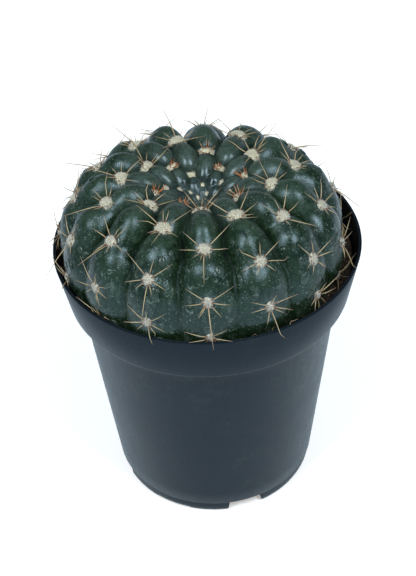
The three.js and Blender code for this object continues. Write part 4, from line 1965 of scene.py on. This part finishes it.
    def inner_rings(self) -> list[np.ndarray]:
        """Rings of points of the inside, from the middle of the floor up to the rim.

        Returns:
            The rings.
        """
        top, wall = self.height, self.wall
        rings = [self.lifted(max(radius - wall, 2 * MM), height) + np.array([0.0, 0.0, wall])
                 for radius, height in reversed(self.underside())]
        ledge = top - self.collar_height + wall
        rim = self.rim_radius - wall
        line = [(self.shoulder_radius - wall - 0.1 * MM, ledge - 0.5 * MM),
                (self.shoulder_radius - wall + 0.3 * MM, ledge),
                (self.collar_base_radius - wall - 0.6 * MM, ledge + 0.15 * MM),
                (self.collar_base_radius - wall, ledge + 0.7 * MM),
                (rim - 0.1 * MM, top - 2.4 * MM), (rim - 0.05 * MM, top - 0.5 * MM),
                (rim + 0.02 * MM, top - 0.2 * MM), (rim + 0.15 * MM, top - 0.05 * MM)]
        return rings + [self.ring(*spot) for spot in line]

    def drill(self, pot: bpy.types.Object) -> None:
        """Cuts the drain holes through the raised floor.

        Args:
            pot: The pot, changed in place.
        """
        spots = [np.zeros(3)]
        for i in range(0, self.feet, 2):
            spots.append(heading(self.first_foot_turn + (i + 0.5) * 2 * math.pi / self.feet)
                         * self.drain_ring)
        points, faces, sides = [], [], self.drain_sides
        for spot in spots:
            start = len(points)
            for height in (self.deep_notch + self.drill_above, self.deep_notch - self.drill_below):
                ring = spot + heading(2 * np.pi * np.arange(sides) / sides) * self.drain_radius
                ring[:, 2] = height
                points.extend(ring.tolist())
            faces.extend((ring_faces(2, sides) + start).tolist())
            faces.append(list(range(start, start + sides)))
            faces.append(list(range(start + 2 * sides - 1, start + sides - 1, -1)))
        cutter = new_object("drain_cutter", mesh_of("drain_cutter", np.array(points), faces))
        cut = pot.modifiers.new("drains", "BOOLEAN")
        cut.operation, cut.solver, cut.object = "DIFFERENCE", "EXACT", cutter
        graph = bpy.context.evaluated_depsgraph_get()
        drilled = bpy.data.meshes.new_from_object(pot.evaluated_get(graph), depsgraph=graph)
        pot.modifiers.clear()
        pot.data = drilled
        bpy.data.objects.remove(cutter)

    def build(self) -> bpy.types.Object:
        """Makes the pot piece.

        Returns:
            The finished pot.
        """
        outer, inner = self.skin_rings(), self.inner_rings()
        middle = len(outer)
        points = np.vstack(outer + inner)
        rings = len(outer) + len(inner)
        faces = ring_faces(rings, self.sides, closed=True)
        keep = np.ones(len(faces), bool)
        keep[(middle - 1) * self.sides:middle * self.sides] = False
        faces = faces[keep].tolist()
        under = np.array([[0.0, 0.0, self.deep_notch], [0.0, 0.0, self.deep_notch + self.wall]])
        points = np.vstack([points, under])
        last, first, centre = (middle - 1) * self.sides, middle * self.sides, rings * self.sides
        for i in range(self.sides):
            j = (i + 1) % self.sides
            faces.append([last + i, centre, last + j])
            faces.append([centre + 1, first + i, first + j])
        mesh = mesh_of("nursery_pot", points, faces)
        mesh.materials.append(PotPlastic().material())
        pot = new_object("nursery_pot", mesh)
        self.drill(pot)
        pot.data.set_sharp_from_angle(angle=self.sharp_angle)
        return finish_piece(pot, Slot.POT, "pot")


# ---------------------------------------------------------------- studio


@dataclass
class Studio:
    """Pale floor, two soft lights, a white room and the camera."""

    elevation: float = math.radians(41.15)
    roll: float = math.radians(-2.556)
    look: tuple[float, float, float] = (-0.46 * MM, 0.0, 89.2 * MM)
    reach: float = 600 * MM
    lens: float = 93.67
    sensor: float = 36.0
    clip: Pair = (0.01, 20.0)
    light_turn: float = math.radians(42.0)
    light_rise: float = math.radians(50.0)
    light_distance: float = 0.9
    light_size: Pair = (0.30, 0.45)
    light_power: float = 6.6
    light_colour: Colour = (0.92, 0.97, 1.0)
    light_aim: float = 0.12
    backdrop: float = 0.66
    backdrop_fades: Pair = (math.radians(6.0), math.radians(32.0))
    ceiling: float = 0.21
    overhead: float = 0.80
    overhead_from: Pair = (math.radians(50.0), math.radians(66.0))
    tint: Colour = (0.72, 0.87, 1.0)
    half_floor: float = 3.0
    floor_drop: float = 0.05 * MM

    def floor(self) -> None:
        """A wide sheet of paper under the pot."""
        half, low = self.half_floor, -self.floor_drop
        corners = [[-half, -half, low], [half, -half, low], [half, half, low], [-half, half, low]]
        mesh = mesh_of("studio_floor", np.array(corners), [[0, 1, 2, 3]])
        mesh.materials.append(StudioPaper().material())
        new_object("studio_floor", mesh)

    def lights(self) -> None:
        """A soft box on either side."""
        for name, sign in (("left_softbox", -1), ("right_softbox", 1)):
            lamp = bpy.data.lights.new(name, "AREA")
            lamp.shape, (lamp.size, lamp.size_y) = "RECTANGLE", self.light_size
            lamp.energy, lamp.color = self.light_power, self.light_colour
            box = bpy.data.objects.new(name, lamp)
            level = Vector(heading(self.light_turn * sign)) * math.cos(self.light_rise)
            way = level + Vector((0, 0, math.sin(self.light_rise)))
            box.location = Vector((0, 0, self.light_aim)) + way * self.light_distance
            box.rotation_mode = "QUATERNION"
            box.rotation_quaternion = (-way).to_track_quat("-Z", "Y")
            bpy.context.scene.collection.objects.link(box)

    def room(self) -> None:
        """White backdrop all round, a dimmer ceiling, and a soft panel overhead."""
        world = bpy.data.worlds.new("white_room")
        bpy.context.scene.world = world
        world.use_nodes = True
        world.node_tree.nodes.clear()
        wire = Wiring(world.node_tree)
        way = wire.add("ShaderNodeTexCoord").outputs["Generated"]
        rise = wire.add("ShaderNodeSeparateXYZ", {0: way}).outputs[2]
        walls = wire.span(rise, *map(math.sin, self.backdrop_fades), self.backdrop, self.ceiling)
        panel = wire.span(rise, *map(math.sin, self.overhead_from),
                          0.0, self.overhead - self.ceiling)
        glow = wire.maths("ADD", walls, panel)
        seen = wire.add("ShaderNodeLightPath").outputs["Is Camera Ray"]
        strength = wire.maths("MAXIMUM", seen, glow)
        colour = wire.mix(seen, self.tint, PLAIN)
        light = wire.add("ShaderNodeBackground", {"Color": colour, "Strength": strength})
        wire.add("ShaderNodeOutputWorld", {"Surface": light.outputs[0]})

    def camera(self) -> None:
        """The camera, in front and above."""
        back = Vector((0, -math.cos(self.elevation), math.sin(self.elevation)))
        level = Vector((1, 0, 0))
        rise = Vector((0, math.sin(self.elevation), math.cos(self.elevation)))
        cos, sin = math.cos(self.roll), math.sin(self.roll)
        right, up = level * cos + rise * sin, rise * cos - level * sin
        lens = bpy.data.cameras.new("camera")
        lens.lens, lens.sensor_width = self.lens, self.sensor
        lens.clip_start, lens.clip_end = self.clip
        eye = bpy.data.objects.new("camera", lens)
        eye.location = Vector(self.look) + back * self.reach
        eye.rotation_mode = "QUATERNION"
        eye.rotation_quaternion = Matrix((right, up, back)).transposed().to_quaternion()
        bpy.context.scene.collection.objects.link(eye)
        bpy.context.scene.camera = eye

    def build(self) -> None:
        """Sets up the whole studio."""
        self.camera()
        self.floor()
        self.lights()
        self.room()
        bpy.context.scene.view_settings.view_transform = "Standard"


# ---------------------------------------------------------------- the whole object


def main() -> None:
    """Builds the studio, the pot, its soil and the plant, in that order."""
    Studio().build()
    NurseryPot().build()
    PottingSoil().build()
    growth = Growth()
    areoles = growth.areoles()
    skin = CactusBody(growth).build(areoles)
    SpineTufts(skin).build(areoles)
    WaterBeads(skin).build()


if __name__ == "__main__":
    main()
